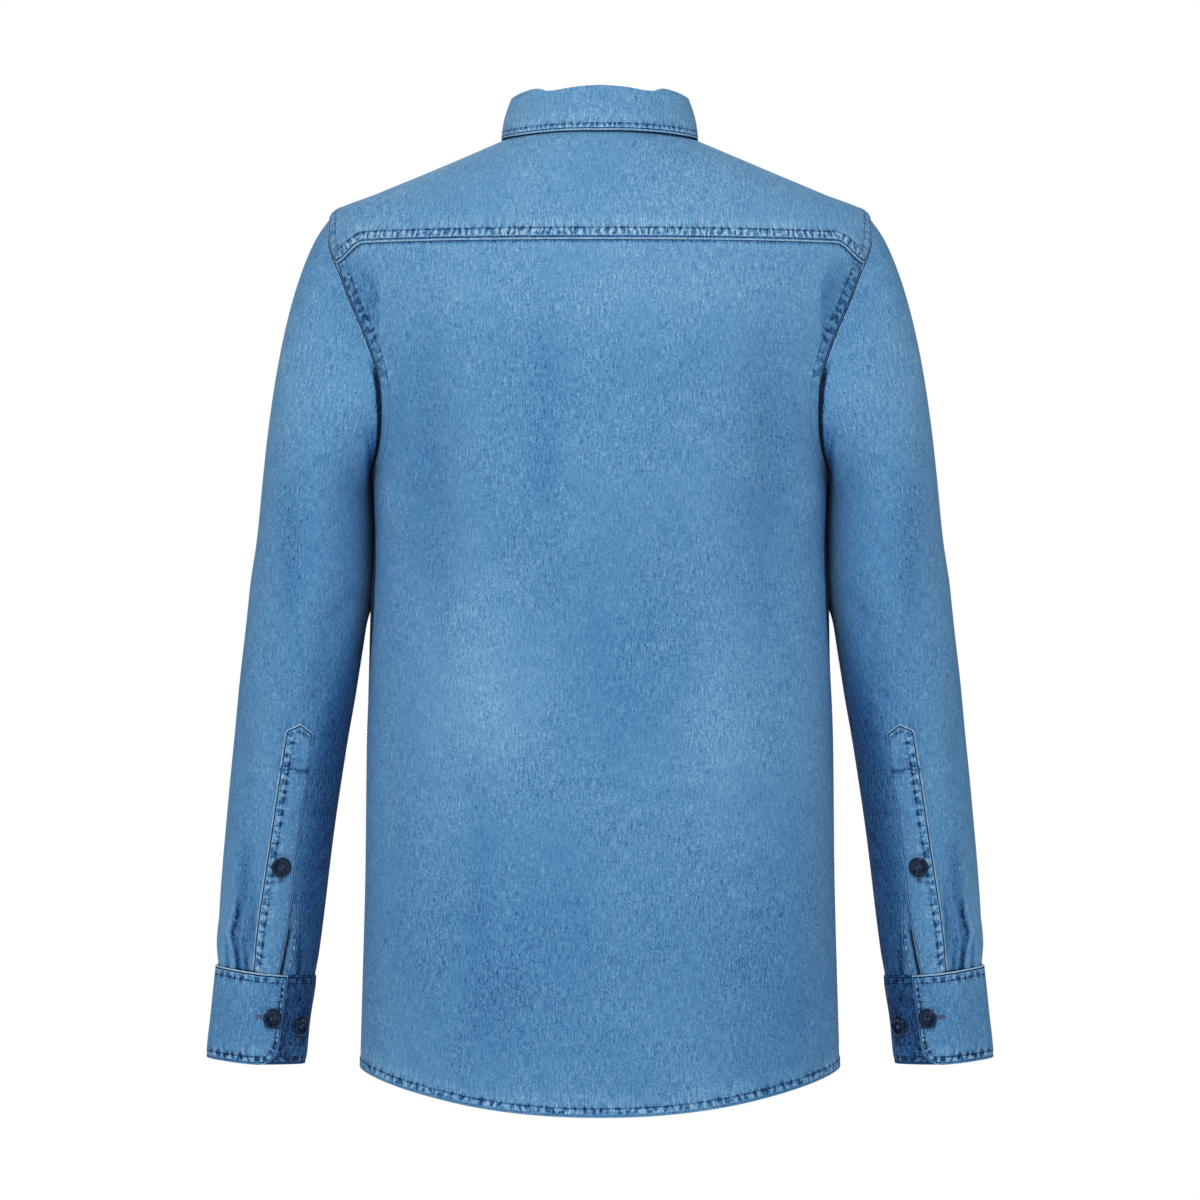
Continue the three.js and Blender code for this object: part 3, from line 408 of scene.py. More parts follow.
def body_rise(point):
    back = fold_rise(BACK_FOLDS, point[..., 0], point[..., 2])
    front = fold_rise(FRONT_FOLDS, point[..., 0], point[..., 2])
    return np.where(point[..., 1] > 0, back, front)


def body_point(angle, level, lift=0.0):
    point = ring_point(angle, level)
    rise = body_rise(point) + lift
    return point + body_normal(angle, level) * rise[..., None]


def angle_at_depth(y, level):
    depth = np.where(y >= 0, BODY["back_depth"](level), BODY["front_depth"](level))
    share = np.minimum(np.abs(y) / depth, 1)
    return np.sign(y) * np.arcsin(share ** (BODY["power"](level) / 2))


def front_angle_at(x, level):
    share = np.abs(x) / BODY["half_width"](level)
    return -RIGHT_ANGLE + np.sign(x) * np.arcsin(share ** (BODY["power"](level) / 2))


def armhole_place(station):
    """Angle and level on the body of stations on the armhole's edge."""
    station = np.asarray(station, float)
    first = np.floor(station).astype(int)
    t = (station - first)[..., None]
    before, start, end, after = (ARMHOLE[(first + step) % len(ARMHOLE)] for step in (-1, 0, 1, 2))
    bend = 2 * before - 5 * start + 4 * end - after
    twist = 3 * start - before - 3 * end + after
    place = start + (t / 2) * (end - before + t * (bend + t * twist))
    y, z = place[..., 0], place[..., 1]
    level = solve(lambda at: ring_point(angle_at_depth(y, at), at)[..., 2], z, HEM_LEVEL, NECK_LEVEL)
    return angle_at_depth(y, level), level


# The sleeve
def section_point(angle, height):
    power = SLEEVE["power"](height)
    turned = angle - RIGHT_ANGLE / 2
    first = np.sign(np.cos(turned)) * np.abs(np.cos(turned)) ** (2 / power)
    second = np.sign(np.sin(turned)) * np.abs(np.sin(turned)) ** (2 / power)
    corner = math.sqrt(2) * 2 ** (0.5 - 1 / power)
    x = SLEEVE["half_width"](height) * (first - second) / corner
    y = SLEEVE["half_depth"](height) * (first + second) / corner
    return vectors(SLEEVE["x"](height) + x, SLEEVE["y"](height) + y, height + x * SLEEVE["tilt"](height))


def sleeve_normal(angle, height):
    return square_to(section_point, angle, height, 0.03, 1)


def sleeve_rise(angle, height):
    return fold_rise(SLEEVE_FOLDS, np.degrees(angle) % 360, height)


def sleeve_point(angle, height, lift=0.0):
    rise = sleeve_rise(angle, height) + lift
    return section_point(angle, height) + sleeve_normal(angle, height) * rise[..., None]


def sleeve_angle(share, height):
    share, height = np.broadcast_arrays(np.asarray(share, float), np.asarray(height, float))

    def share_at(angle):
        return (section_point(angle, height)[..., 0] - SLEEVE["x"](height)) / SLEEVE["half_width"](height)

    return solve(share_at, share, 0, math.pi)


def armhole_angle(station):
    point = ring_point(*armhole_place(station))
    return np.arctan2(point[..., 1] - ARMHOLE_MIDDLE[0], point[..., 2] - ARMHOLE_MIDDLE[1])


def head_point(station, share):
    """A point of the sleeve's head, between the armhole and the first level section."""
    station, share = np.broadcast_arrays(station, share)
    angle = armhole_angle(station)
    start = body_point(*armhole_place(station))
    end = sleeve_point(angle, np.full(angle.shape, float(BICEP)))
    reach = 0.8 * np.linalg.norm(end - start, axis=-1)[..., None]
    fall = np.radians(36 + 16 * np.cos(angle) ** 2)
    spread = math.radians(20) * np.sin(angle)
    leaving = vectors(np.cos(fall) * np.cos(spread), np.cos(fall) * np.sin(spread), -np.sin(fall))
    arriving = unit(sleeve_point(angle, np.full(angle.shape, BICEP - 1.0)) - end)
    t = share[..., None]
    rest = 1 - t
    first = rest * rest * ((1 + 2 * t) * start + t * reach * leaving)
    return first + t * t * ((3 - 2 * t) * end - rest * reach * arriving)


# Grids of points, and the cloth made from them
def grid_normals(points, closed=False):
    """Normals of a grid whose rows run down and whose columns run against the clock, seen from above."""
    if closed:
        along = np.roll(points, -1, axis=1) - np.roll(points, 1, axis=1)
    else:
        along = np.gradient(points, axis=1)
    return unit(np.cross(np.gradient(points, axis=0), along))


def run_lengths(points, axis):
    steps = np.linalg.norm(np.diff(points, axis=axis), axis=-1)
    start = np.zeros_like(np.take(steps, [0], axis=axis))
    return np.concatenate([start, np.cumsum(steps, axis=axis)], axis=axis)


def near(points, line):
    """Distance of points from a line, and how far along the line that is."""
    step = max(len(line) // 110, 1)
    line = np.concatenate([line[:-1:step], line[-1:]])
    start = line[:-1]
    way = np.diff(line, axis=0)
    length2 = np.maximum((way ** 2).sum(-1), 1e-9)
    run = np.concatenate([[0], np.cumsum(np.sqrt(length2))])[:-1]
    flat = points.reshape(-1, 3)
    far = np.empty(len(flat))
    along = np.empty(len(flat))
    for first in range(0, len(flat), 4000):
        part = flat[first:first + 4000, None] - start[None]
        t = np.clip((part * way).sum(-1) / length2, 0, 1)
        gap = np.linalg.norm(part - t[..., None] * way, axis=-1)
        best = gap.argmin(1)
        pick = np.arange(len(best))
        far[first:first + 4000] = gap[pick, best]
        along[first:first + 4000] = run[best] + t[pick, best] * np.sqrt(length2[best])
    return far.reshape(points.shape[:-1]), along.reshape(points.shape[:-1])


def seam_fields(points, seams):
    """For each point of a grid: the nearest seam's run, distance, band, pucker, wear and rise."""
    fields = np.zeros(points.shape[:-1] + (6,))
    fields[..., 1] = SEAM_REACH
    for line, band, pucker, worn, rise in seams:
        far, along = near(points, line)
        is_nearest = far < fields[..., 1]
        ease = 1 - smoothstep(far, band, band + 2.5)
        values = (along, far, band, pucker, worn, rise * ease)
        for i, value in enumerate(values):
            fields[..., i] = np.where(is_nearest, value, fields[..., i])
    return fields


def joined(points, closed=True):
    """A grid whose first column comes again at its end, where it goes all round."""
    return np.concatenate([points, points[:, :1]], axis=1) if closed else points


def grid_quads(at):
    """The corners of each cell of a grid."""
    return np.stack([at[:-1, :-1], at[1:, :-1], at[1:, 1:], at[:-1, 1:]], -1).reshape(-1, 4)


def add_object(name, data):
    piece = bpy.data.objects.new(name, data)
    bpy.context.scene.collection.objects.link(piece)
    return piece


def add_layer(mesh, label, kind, values):
    """Keeps numbers or vectors on a mesh's points."""
    layer = mesh.attributes.new(label, kind, "POINT")
    layer.data.foreach_set("value" if kind == "FLOAT" else "vector", np.asarray(values, np.float32).ravel())


def cloth(name, points, normals, thickness, fields, tone, closed=False, middle=0, mirror=False, weave=None):
    """A thin closed shell of cloth with a rounded rim, which keeps its seams' fields and its weave's run."""
    rows, columns = points.shape[:2]
    count = rows * columns
    inner = points - normals * thickness
    half = (points + inner) / 2

    def rim(line, next_line):
        return line + unit(line - next_line) * thickness * RIM_BULGE

    top = rim(half[0], half[1])
    end = rim(half[-1], half[-2])
    first = rim(half[:, 0], half[:, 1])
    last = rim(half[:, -1], half[:, -2])
    outer_at = np.arange(count).reshape(rows, columns)
    inner_at = outer_at + count
    top_at = np.arange(columns) + 2 * count
    end_at = top_at + columns
    first_at = np.arange(rows) - 1 + 2 * (count + columns)
    last_at = first_at + rows - 2
    if closed:
        wrap = np.append(np.arange(columns), 0)
        places = [points, inner, top, end]
    else:
        wrap = np.arange(columns)
        for corner, line, line_at in ((0, first, first_at), (-1, last, last_at)):
            top[corner] = (top[corner] + line[0]) / 2
            end[corner] = (end[corner] + line[-1]) / 2
            line_at[0] = top_at[corner]
            line_at[-1] = end_at[corner]
        places = [points, inner, top, end, first[1:-1], last[1:-1]]
    cell = np.arange(rows * len(wrap)).reshape(rows, len(wrap))
    quads = [grid_quads(outer_at[:, wrap]), grid_quads(inner_at[:, wrap])[:, ::-1]]
    cells = [grid_quads(cell), grid_quads(cell)[:, ::-1]]
    strips = [
        (top_at[wrap], outer_at[0, wrap], cell[0]), (inner_at[0, wrap], top_at[wrap], cell[0]),
        (outer_at[-1, wrap], end_at[wrap], cell[-1]), (end_at[wrap], inner_at[-1, wrap], cell[-1]),
    ]
    if not closed:
        strips += [
            (outer_at[:, 0], first_at, cell[:, 0]), (first_at, inner_at[:, 0], cell[:, 0]),
            (last_at, outer_at[:, -1], cell[:, -1]), (inner_at[:, -1], last_at, cell[:, -1]),
        ]
    for a, b, known in strips:
        quads.append(np.stack([a[:-1], b[:-1], b[1:], a[1:]], -1))
        cells.append(np.stack([known[:-1], known[:-1], known[1:], known[1:]], -1))
    quads = np.concatenate(quads)
    cells = np.concatenate(cells)
    vertices = np.concatenate([place.reshape(-1, 3) for place in places]) / 1000
    if mirror:
        vertices[:, 0] *= -1
    corners = vertices[quads]
    volume = sum((corners[:, 0] * np.cross(corners[:, i], corners[:, i + 1])).sum() for i in (1, 2))
    if volume < 0:
        quads = quads[:, ::-1]
        cells = cells[:, ::-1]
    # The weave's run is measured over the grid, across from its middle and down from its top
    if weave is None:
        full = joined(points, closed)
        across = run_lengths(full, 1)
        weave = (across - across[:, middle:middle + 1], run_lengths(full, 0))
    run = np.stack([weave[0], -weave[1]], -1).reshape(-1, 2) / 1000

    def spread(values):
        flat = values.reshape(-1, values.shape[-1])
        parts = [flat, flat, values[0], values[-1]]
        if not closed:
            parts += [values[1:-1, 0], values[1:-1, -1]]
        return np.concatenate(parts)

    inside = np.full(len(vertices), RIM_INSIDE)
    inside[:count] = 0
    inside[count:2 * count] = 1
    mesh = bpy.data.meshes.new(name)
    mesh.from_pydata(vertices.tolist(), [], quads.tolist())
    mesh.uv_layers.new(name="weave").data.foreach_set("uv", run[cells.reshape(-1)].astype(np.float32).ravel())
    add_layer(mesh, "seam", "FLOAT_VECTOR", spread(fields[..., :3]) / 1000)
    # Beside puckers and wear, each point keeps its tone, which holds painted light and shade as well as patches
    # of wash
    add_layer(mesh, "wear", "FLOAT_VECTOR", spread(np.stack([fields[..., 3], tone, fields[..., 4]], -1)))
    add_layer(mesh, "inside", "FLOAT", inside)
    mesh.polygons.foreach_set("use_smooth", np.ones(len(mesh.polygons), bool))
    mesh.update()
    SURFACES[name] = (points, normals, mirror)
    return add_object(name, mesh)


def declare(piece, node, finish):
    """Gives a piece of cloth its finish, hangs it under the root and hides the solid whose place it takes."""
    piece.data.materials.append(material_named(finish))
    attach(piece, "root")
    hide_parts(node)


def surface_tree(name):
    """A search tree of a cloth's outer face."""
    if name not in TREES:
        points, normals, _ = SURFACES[name]
        rows, columns = points.shape[:2]
        quads = grid_quads(np.arange(rows * columns).reshape(rows, columns))
        facing = np.cross(points[1:, :-1] - points[:-1, :-1], points[:-1, 1:] - points[:-1, :-1])
        if (facing * normals[:-1, :-1]).sum() < 0:
            quads = quads[:, ::-1]
        TREES[name] = BVHTree.FromPolygons(points.reshape(-1, 3).tolist(), quads.tolist())
    return TREES[name]


def snapped(surface, place):
    """The nearest point of a cloth's outer face, and its normal."""
    hit, normal, _, _ = surface_tree(surface).find_nearest(Vector(place))
    return np.array(hit), np.array(normal)


def add_row(rows, surface, places):
    """Keeps a row of thread that runs over a cloth, mirrored where the cloth is."""
    turned = (-1, 1, 1) if SURFACES[surface][2] else (1, 1, 1)
    points, normals = zip(*(snapped(surface, place) for place in places))
    rows.append((np.array(points) * turned, np.array(normals) * turned))


def stitch_along(surface, line, inward, offset, end=1.0):
    """Keeps a row of stitching at an offset from a line of the cloth, down to a share of its length."""
    tangent = unit(np.gradient(line, axis=0))
    inward = inward - tangent * (inward * tangent).sum(-1)[:, None]
    run = run_lengths(line, 0)
    path = line + unit(inward) * offset
    add_row(STITCH_ROWS, surface, path[run <= end * run[-1]])


def edge_line(points, side):
    """An edge of a grid, and the way from it into the cloth."""
    if side == "top":
        return points[0], points[3] - points[0]
    if side == "end":
        return points[-1], points[-4] - points[-1]
    if side == "first":
        return points[:, 0], points[:, 3] - points[:, 0]
    return points[:, -1], points[:, -4] - points[:, -1]


def sew(surface, points, side, *offsets, part=slice(None), end=1.0):
    """Rows of stitching along an edge of a cloth, or along a part of it."""
    line, inward = edge_line(points, side)
    for offset in offsets:
        stitch_along(surface, line[part], inward[part], offset, end)


# Materials
class Wiring:
    """Short ways to add nodes to a tree and join them."""

    def __init__(self, tree):
        self.tree = tree

    def node(self, kind, inputs=None, **settings):
        """A new node with its settings, and with its inputs by their names or numbers."""
        node = self.tree.nodes.new(kind)
        for name, value in settings.items():
            setattr(node, name, value)
        self.fill(node, inputs or {})
        return node

    def put(self, socket, value):
        if isinstance(value, bpy.types.NodeSocket):
            self.tree.links.new(value, socket)
        else:
            socket.default_value = value

    def fill(self, node, inputs):
        for name, value in inputs.items():
            self.put(node.inputs[name], value)

    def math(self, operation, *values):
        return self.node("ShaderNodeMath", dict(enumerate(values)), operation=operation).outputs[0]

    def chain(self, operation, values):
        result = values[0]
        for value in values[1:]:
            result = self.math(operation, result, value)
        return result

    def total(self, *values):
        return self.chain("ADD", values)

    def times(self, *values):
        return self.chain("MULTIPLY", values)

    def less(self, value, other):
        return self.math("SUBTRACT", value, other)

    def centred(self, value, amount):
        """What lies between 0 and 1, brought round 0 and made stronger or weaker."""
        return self.times(self.less(value, 0.5), amount)

    def ramp(self, value, low, high, to_low=0.0, to_high=1.0):
        inputs = dict(enumerate((value, low, high, to_low, to_high)))
        return self.node("ShaderNodeMapRange", inputs, interpolation_type="SMOOTHSTEP").outputs[0]

    def between(self, value, start, full, fading, end):
        """Rises from the first place to the second and falls from the third to the fourth."""
        return self.times(self.ramp(value, start, full), self.ramp(value, fading, end, 1.0, 0.0))

    def mixed(self, share, low, high):
        return self.node("ShaderNodeMix", {0: share, 6: low, 7: high}, data_type="RGBA").outputs[2]

    def vector(self, *parts):
        return self.node("ShaderNodeCombineXYZ", dict(enumerate(parts))).outputs[0]

    def split(self, vector):
        return self.node("ShaderNodeSeparateXYZ", {0: vector}).outputs

    def millimetres(self, vector):
        return [self.times(part, 1000.0) for part in self.split(vector)]

    def noise(self, places, sizes, detail=2.0, roughness=0.5, distortion=0.0):
        """Noise whose grains have a size along the first of its ways, and are of size 1 along the others."""
        parts = [self.math("DIVIDE", place, size) for place, size in zip(places, sizes)]
        parts.extend(places[len(sizes):])
        return self.node("ShaderNodeTexNoise", {
            "Vector": self.vector(*parts), "Scale": 1.0, "Detail": detail, "Roughness": roughness,
            "Distortion": distortion,
        }).outputs["Fac"]

    def bump(self, height, strength=1.0):
        inputs = {"Strength": strength, "Distance": 1.0, "Height": height}
        return self.node("ShaderNodeBump", inputs).outputs[0]


def tone_group(name, inputs, fill):
    """A group of nodes that all denims share, which gives a tone and a height."""
    group = bpy.data.node_groups.get(name)
    if group:
        return group
    group = bpy.data.node_groups.new(name, "ShaderNodeTree")
    for label, kind in inputs.items():
        group.interface.new_socket(label, in_out="INPUT", socket_type=kind)
    for label in ("Tone", "Height"):
        group.interface.new_socket(label, in_out="OUTPUT", socket_type="NodeSocketFloat")
    w = Wiring(group)
    tone, height = fill(w, w.node("NodeGroupInput").outputs)
    w.node("NodeGroupOutput", {"Tone": tone, "Height": height})
    return group


def washed_twill(w, given):
    """Slubs, speckle, mottling and the twill's own line."""
    u, v, _ = w.millimetres(given["Weave"])

    def field(across, down, detail, roughness, shift=0.0, distortion=0.0):
        places = (u, v, w.total(given["Piece"], shift))
        return w.noise(places, (across, down), detail, roughness, distortion)

    slub = field(0.95, 11.0, 3.0, 0.6)
    fine = field(0.7, 3.4, 2.0, 0.6, 3.1)
    speckle = field(0.95, 1.25, 2.0, 0.75, 7.7)
    blotch = field(17.0, 26.0, 3.0, 0.6, 11.3, 0.4)
    cloud = field(70.0, 120.0, 2.0, 0.5, 17.9)
    calm = w.ramp(field(46.0, 80.0, 2.0, 0.5, 23.4), 0.36, 0.6, 0.72, 1.1)
    line = w.math("SINE", w.total(w.times(u, 6.4), w.times(v, 4.6)))
    grain = w.total(w.centred(slub, 0.85), w.centred(fine, 0.72), w.centred(speckle, 0.92))
    grain = w.times(grain, given["Slub"], calm)
    mottle = w.total(w.centred(blotch, 0.12), w.centred(cloud, 0.16))
    tone = w.total(grain, mottle, w.times(line, 0.028))
    height = w.total(w.centred(slub, 0.00022), w.centred(speckle, 0.0002), w.times(line, 0.00003))
    return tone, height


def washed_seam(w, given):
    """A pale worn edge, dark puckers between the rows of stitches, and pale streaks beside them."""
    along, off, band = w.millimetres(given["Seam"])
    pucker, _, worn = w.split(given["Wear"])
    off = w.total(off, w.centred(w.noise((along, 4.0), (9.0,), 1.0), 0.5))
    sway = w.noise((along, off, 2.0), (11.0, 14.0), 2.0, 0.6)
    # Puckers stand closer together in a narrow band, and closest along the yoke
    is_yoke = w.between(band, 7.2, 7.4, 7.8, 8.0)
    closeness = w.total(0.8, w.times(is_yoke, 0.38), w.ramp(band, 4.6, 4.9, 0.5, 0.0))
    turns = w.times(along, closeness)
    wave = w.math("SINE", w.total(turns, w.times(sway, 14.0)))
    spots = w.noise((w.times(turns, 0.34), w.math("DIVIDE", off, 5.0)), (), 2.0, 0.6, 0.3)
    bars = w.total(w.times(wave, 0.13), spots)
    patchy = w.noise((along, 9.0), (17.0,))
    streaks = w.noise((along, off, 5.0), (1.7, 20.0), 2.0, 0.6)
    in_band = w.times(w.between(off, 1.6, 2.4, band, w.total(band, 1.2)), pucker)
    reach = w.times(w.between(off, 1.6, 2.4, band, w.total(band, 4.5)), pucker)
    dark = w.times(w.ramp(bars, 0.51, 0.61), w.ramp(patchy, 0.3, 0.52, 0.45, 1.0))
    pale = w.ramp(bars, 0.4, 0.48, 1.0, 0.0)
    beside = w.between(off, w.less(band, 0.5), band, band, w.total(band, 15.0))
    beside = w.times(beside, pucker, w.ramp(streaks, 0.42, 0.66))
    edge = w.times(w.ramp(off, 0.15, 0.6, 1.0, 0.0), worn)
    second = w.times(w.between(off, 1.7, 1.95, 2.1, 2.5), worn, w.ramp(spots, 0.42, 0.58, 0.2, 1.0))
    line = w.times(w.between(off, 0.6, 0.9, 1.4, 1.75), worn)
    inner_line = w.times(w.between(w.less(off, band), -0.9, -0.35, 0.35, 0.9), pucker)
    tone = w.total(
        w.times(reach, dark, -0.33), w.times(in_band, pale, 0.3), w.times(beside, 0.26), w.times(edge, 0.32),
        w.times(second, 0.3), w.times(line, -0.46), w.times(inner_line, -0.34),
    )
    height = w.total(
        w.times(reach, w.less(0.5, bars), 0.0026), w.times(beside, w.centred(streaks, 0.0006)),
        w.times(line, -0.0003), w.times(inner_line, -0.0004),
    )
    return tone, height


def new_material(name):
    material = bpy.data.materials.new(name)
    material.use_nodes = True
    return material, Wiring(material.node_tree), material.node_tree.nodes["Principled BSDF"]


def denim(name, settings, shade, piece, slub):
    """Denim whose tone runs from indigo to nearly white."""
    material, w, shader = new_material(name)
    weave = w.node("ShaderNodeUVMap", uv_map="weave").outputs[0]
    seam = w.node("ShaderNodeAttribute", attribute_name="seam").outputs["Vector"]
    wear = w.node("ShaderNodeAttribute", attribute_name="wear").outputs["Vector"]
    inside = w.node("ShaderNodeAttribute", attribute_name="inside").outputs["Fac"]
    twill_inputs = {"Weave": "NodeSocketVector", "Piece": "NodeSocketFloat", "Slub": "NodeSocketFloat"}
    twill_group = tone_group("washed twill", twill_inputs, washed_twill)
    twill = w.node("ShaderNodeGroup", node_tree=twill_group)
    w.fill(twill, {"Weave": weave, "Piece": piece, "Slub": slub})
    seam_inputs = {"Seam": "NodeSocketVector", "Wear": "NodeSocketVector"}
    seams = w.node("ShaderNodeGroup", node_tree=tone_group("washed seam", seam_inputs, washed_seam))
    w.fill(seams, {"Seam": seam, "Wear": wear})
    # Each piece's tone: patches of wash together with painted light, shade and shadows
    wash = w.times(w.split(wear)[1], 0.42)
    tone = w.total(twill.outputs["Tone"], seams.outputs["Tone"], wash, 0.5 + shade)
    ramp = w.node("ShaderNodeValToRGB", {0: tone})
    stops = ramp.color_ramp.elements
    stops[0].color = (*settings.shadow, 1)
    stops[1].color = (*settings.worn, 1)
    for place, finish in ((0.12, "indigo"), (0.27, "deep"), (0.5, "wash"), (0.75, "pale")):
        stops.new(place).color = (*getattr(settings, finish), 1)
    within = w.mixed(0.45, ramp.outputs[0], (0.34, 0.42, 0.52, 1))
    w.fill(shader, {
        "Base Color": w.mixed(inside, ramp.outputs[0], within),
        "Roughness": w.ramp(tone, 0.0, 1.0, 0.78, 0.95),
        "Specular IOR Level": 0.12, "Sheen Weight": 0.03, "Sheen Roughness": 0.5,
        "Normal": w.bump(w.total(twill.outputs["Height"], seams.outputs["Height"]), 0.75),
    })
    return material


def thread_material(name, colour):
    """Spun thread: a fine twist over a slightly uneven colour."""
    material, w, shader = new_material(name)
    places = w.millimetres(w.node("ShaderNodeTexCoord").outputs["Object"])
    uneven = w.ramp(w.noise(places, (2.4, 2.4, 2.4)), 0.3, 0.7)
    twist = w.math("SINE", w.times(w.total(*places), 16.0))
    dark = (*(part * 0.6 for part in colour), 1)
    light = (*(min(part * 1.7, 1) for part in colour), 1)
    w.fill(shader, {
        "Base Color": w.mixed(uneven, dark, light), "Roughness": 0.6,
        "Normal": w.bump(w.times(twist, 0.00004)),
    })
    return material


def button_material(name, colour):
    """Glossy dark resin with faint clouding and fine scratches."""
    material, w, shader = new_material(name)
    places = w.millimetres(w.node("ShaderNodeTexCoord").outputs["Object"])
    cloud = w.ramp(w.noise(places, (3.0, 3.0, 3.0), 3.0), 0.35, 0.75)
    scratch = w.noise(places, (0.4, 2.0, 2.0), 3.0)
    light = (*(min(part * 2.6 + 0.012, 1) for part in colour), 1)
    w.fill(shader, {
        "Base Color": w.mixed(cloud, (*colour, 1), light), "Roughness": w.ramp(scratch, 0.3, 0.7, 0.1, 0.24),
        "Specular IOR Level": 0.4, "Specular Tint": (0.35, 0.65, 1.0, 1.0), "Coat Weight": 0.2,
        "Coat Roughness": 0.1,
    })
    return material


# Each denim: how much paler than the wash, its place in the noise and the strength of its grain. The paler yoke
# and collar and darker sleeves and cuffs are partly painted light from above
DENIMS = {
    "denim back": (0.0, 1.0, 1.0), "denim yoke": (0.06, 5.0, 1.0), "denim fronts": (0.0, 9.0, 1.0),
    "denim sleeves": (-0.03, 13.0, 0.95), "denim collar": (0.09, 17.0, 1.0),
    "denim cuffs": (-0.06, 21.0, 0.9),
}


def material_named(name):
    """A finish of the shirt, made the first time that it is wanted."""
    if name in bpy.data.materials:
        return bpy.data.materials[name]
    settings = bpy.context.scene.denim_shirt
    if name in DENIMS:
        return denim(name, settings, *DENIMS[name])
    if name == "button resin":
        return button_material(name, tuple(settings.button))
    colours = {
        "seam thread": tuple(settings.thread), "button thread": (0.1, 0.14, 0.24),
        "buttonhole thread": (0.1, 0.14, 0.28),
    }
    return thread_material(name, colours[name])


# The body's pieces
def side_seam(share):
    start = armhole_place(0.0)[1]
    level = mix(start, HEM_LEVEL, share)
    return angle_at_depth(BODY["seam"](level), level), level


def panel_edge(index, first_station, last_station, rows):
    """The outer edge of the back or a front, down the armhole and then the side seam."""
    station = first_station + (last_station - first_station) * np.clip(index / rows, 0, 1)
    angle, level = armhole_place(station)
    side_angle, side_level = side_seam(np.clip((index - rows) / 11, 0, 1))
    is_side = index > rows
    return np.where(is_side, side_angle, angle), np.where(is_side, side_level, level)


def yoke_seam_level(angle):
    def height(level):
        point = ring_point(angle, level)
        return point[..., 2] + YOKE_DIP * smoothstep(np.abs(point[..., 0]), 178, 200)

    return solve(height, np.full(angle.shape, float(YOKE_SEAM)), -250, NECK_LEVEL)


def back_grid():
    """Angles and levels of the back, whose first rows reach up under the yoke."""
    index = np.concatenate([[0, 0, 0], np.linspace(0, 9, 54), np.linspace(9, 20, 158)[1:]])
    column = np.linspace(0, 20, 161)
    edge_angle, edge_level = panel_edge(index, BACK_CORNER, 0, 9)
    even = mix(edge_level[0], HEM_LEVEL, index / 20)
    off = np.abs(column / 10 - 1)
    level = mix(((edge_level + even) / 2)[:, None], edge_level[:, None], off ** 1.6)
    angle = mix(edge_angle[:, None], math.pi - edge_angle[:, None], column / 20)
    seam = yoke_seam_level(mix(edge_angle[0], math.pi - edge_angle[0], column / 20))
    seam[0] = seam[-1] = edge_level[0]
    level = level + (seam - level[0]) * np.clip(1 - index[:, None] / 3, 0, 1)
    under = np.array([5.0, 2.5] + [0.0] * (len(index) - 2))[:, None] * (1 - off ** 8)
    return angle, level + under


def back_seams(points):
    """The back's seams. Each is a line, how wide its band is, its puckers, its wear and how high it stands."""
    return {
        "yoke": (points[2], 0.5, 0.75, 0.0, 0.0),
        "left armhole": (points[2:BACK_SIDE_ROW, 0], 10.5, 0.62, 0.9, 0.5),
        "right armhole": (points[2:BACK_SIDE_ROW, -1], 10.5, 0.62, 0.9, 0.5),
        "left side": (points[BACK_SIDE_ROW:, 0], 1.5, 0.2, 0.9, 0.2),
        "right side": (points[BACK_SIDE_ROW:, -1], 1.5, 0.2, 0.9, 0.2),
        "hem": (points[-1], 6.2, 0.85, 0.3, 0.55),
    }


def make_back():
    angle, level = back_grid()
    ring = ring_point(angle, level)
    x, z = ring[..., 0], ring[..., 2]
    base = body_point(angle, level)
    seams = back_seams(base)
    fields = seam_fields(base, seams.values())
    to_yoke, _ = near(base, base[2])
    lift = crease_rise(BACK_CREASES, x, z) + ripple(x, z)
    lift = lift * smoothstep(fields[..., 1], 0, 14) + fields[..., 5]
    lift = lift - 1.0 * (1 - smoothstep(to_yoke, 3, 14))
    points = body_point(angle, level, lift)
    normals = grid_normals(points)
    # Painted light and shade of the back, and a painted shadow along the back just under the yoke's lapped edge
    tone = tone_of(BACK_WASH_AND_PAINTED_LIGHT, x, z) - 1.1 * (1 - smoothstep(to_yoke, 1.3, 2.7))
    # Painted shade of a shallow fold that runs from each end of the yoke's seam to the underarm
    fold = np.interp(z, (-200, -160, -115, -82), (162.5, 164.5, 165, 181))
    shaded = smoothstep(np.abs(x) - fold, -0.6, 2.2) * smoothstep(-z, 86, 120) * smoothstep(-z, 225, 180)
    tone = tone - 0.42 * shaded
    # Lower down the armhole's seam turns in under the fold, and the edge lies in shadow beside the sleeve
    beside_sleeve = smoothstep(-z, 182, 196)
    shown = 1 - beside_sleeve * smoothstep(-z, 300, 290)
    fields[..., 3] *= shown
    fields[..., 4] *= shown
    tone = tone - 1.3 * (1 - smoothstep(fields[..., 1], 0.3, 1.6)) * beside_sleeve * smoothstep(-z, 420, 400)
    piece = cloth("back_cloth", points, normals, 1.0, fields, tone, middle=80)
    declare(piece, "back", "denim back")
    for side in ("first", "last"):
        sew("back_cloth", points, side, 1.9, 10.9, part=slice(BACK_UNDER_ROWS, BACK_SIDE_ROW))
        sew("back_cloth", points, side, 2.0, part=slice(BACK_SIDE_ROW, -6))
    sew("back_cloth", points, "end", 6.4)


def neck_places(angle_from, angle_to, level_to, share):
    """Places from the neckline to a seam, closer together at the neck."""
    angle = mix(angle_from, angle_to, share)
    return angle, mix(NECK_LEVEL, level_to, share ** NECK_EASE)


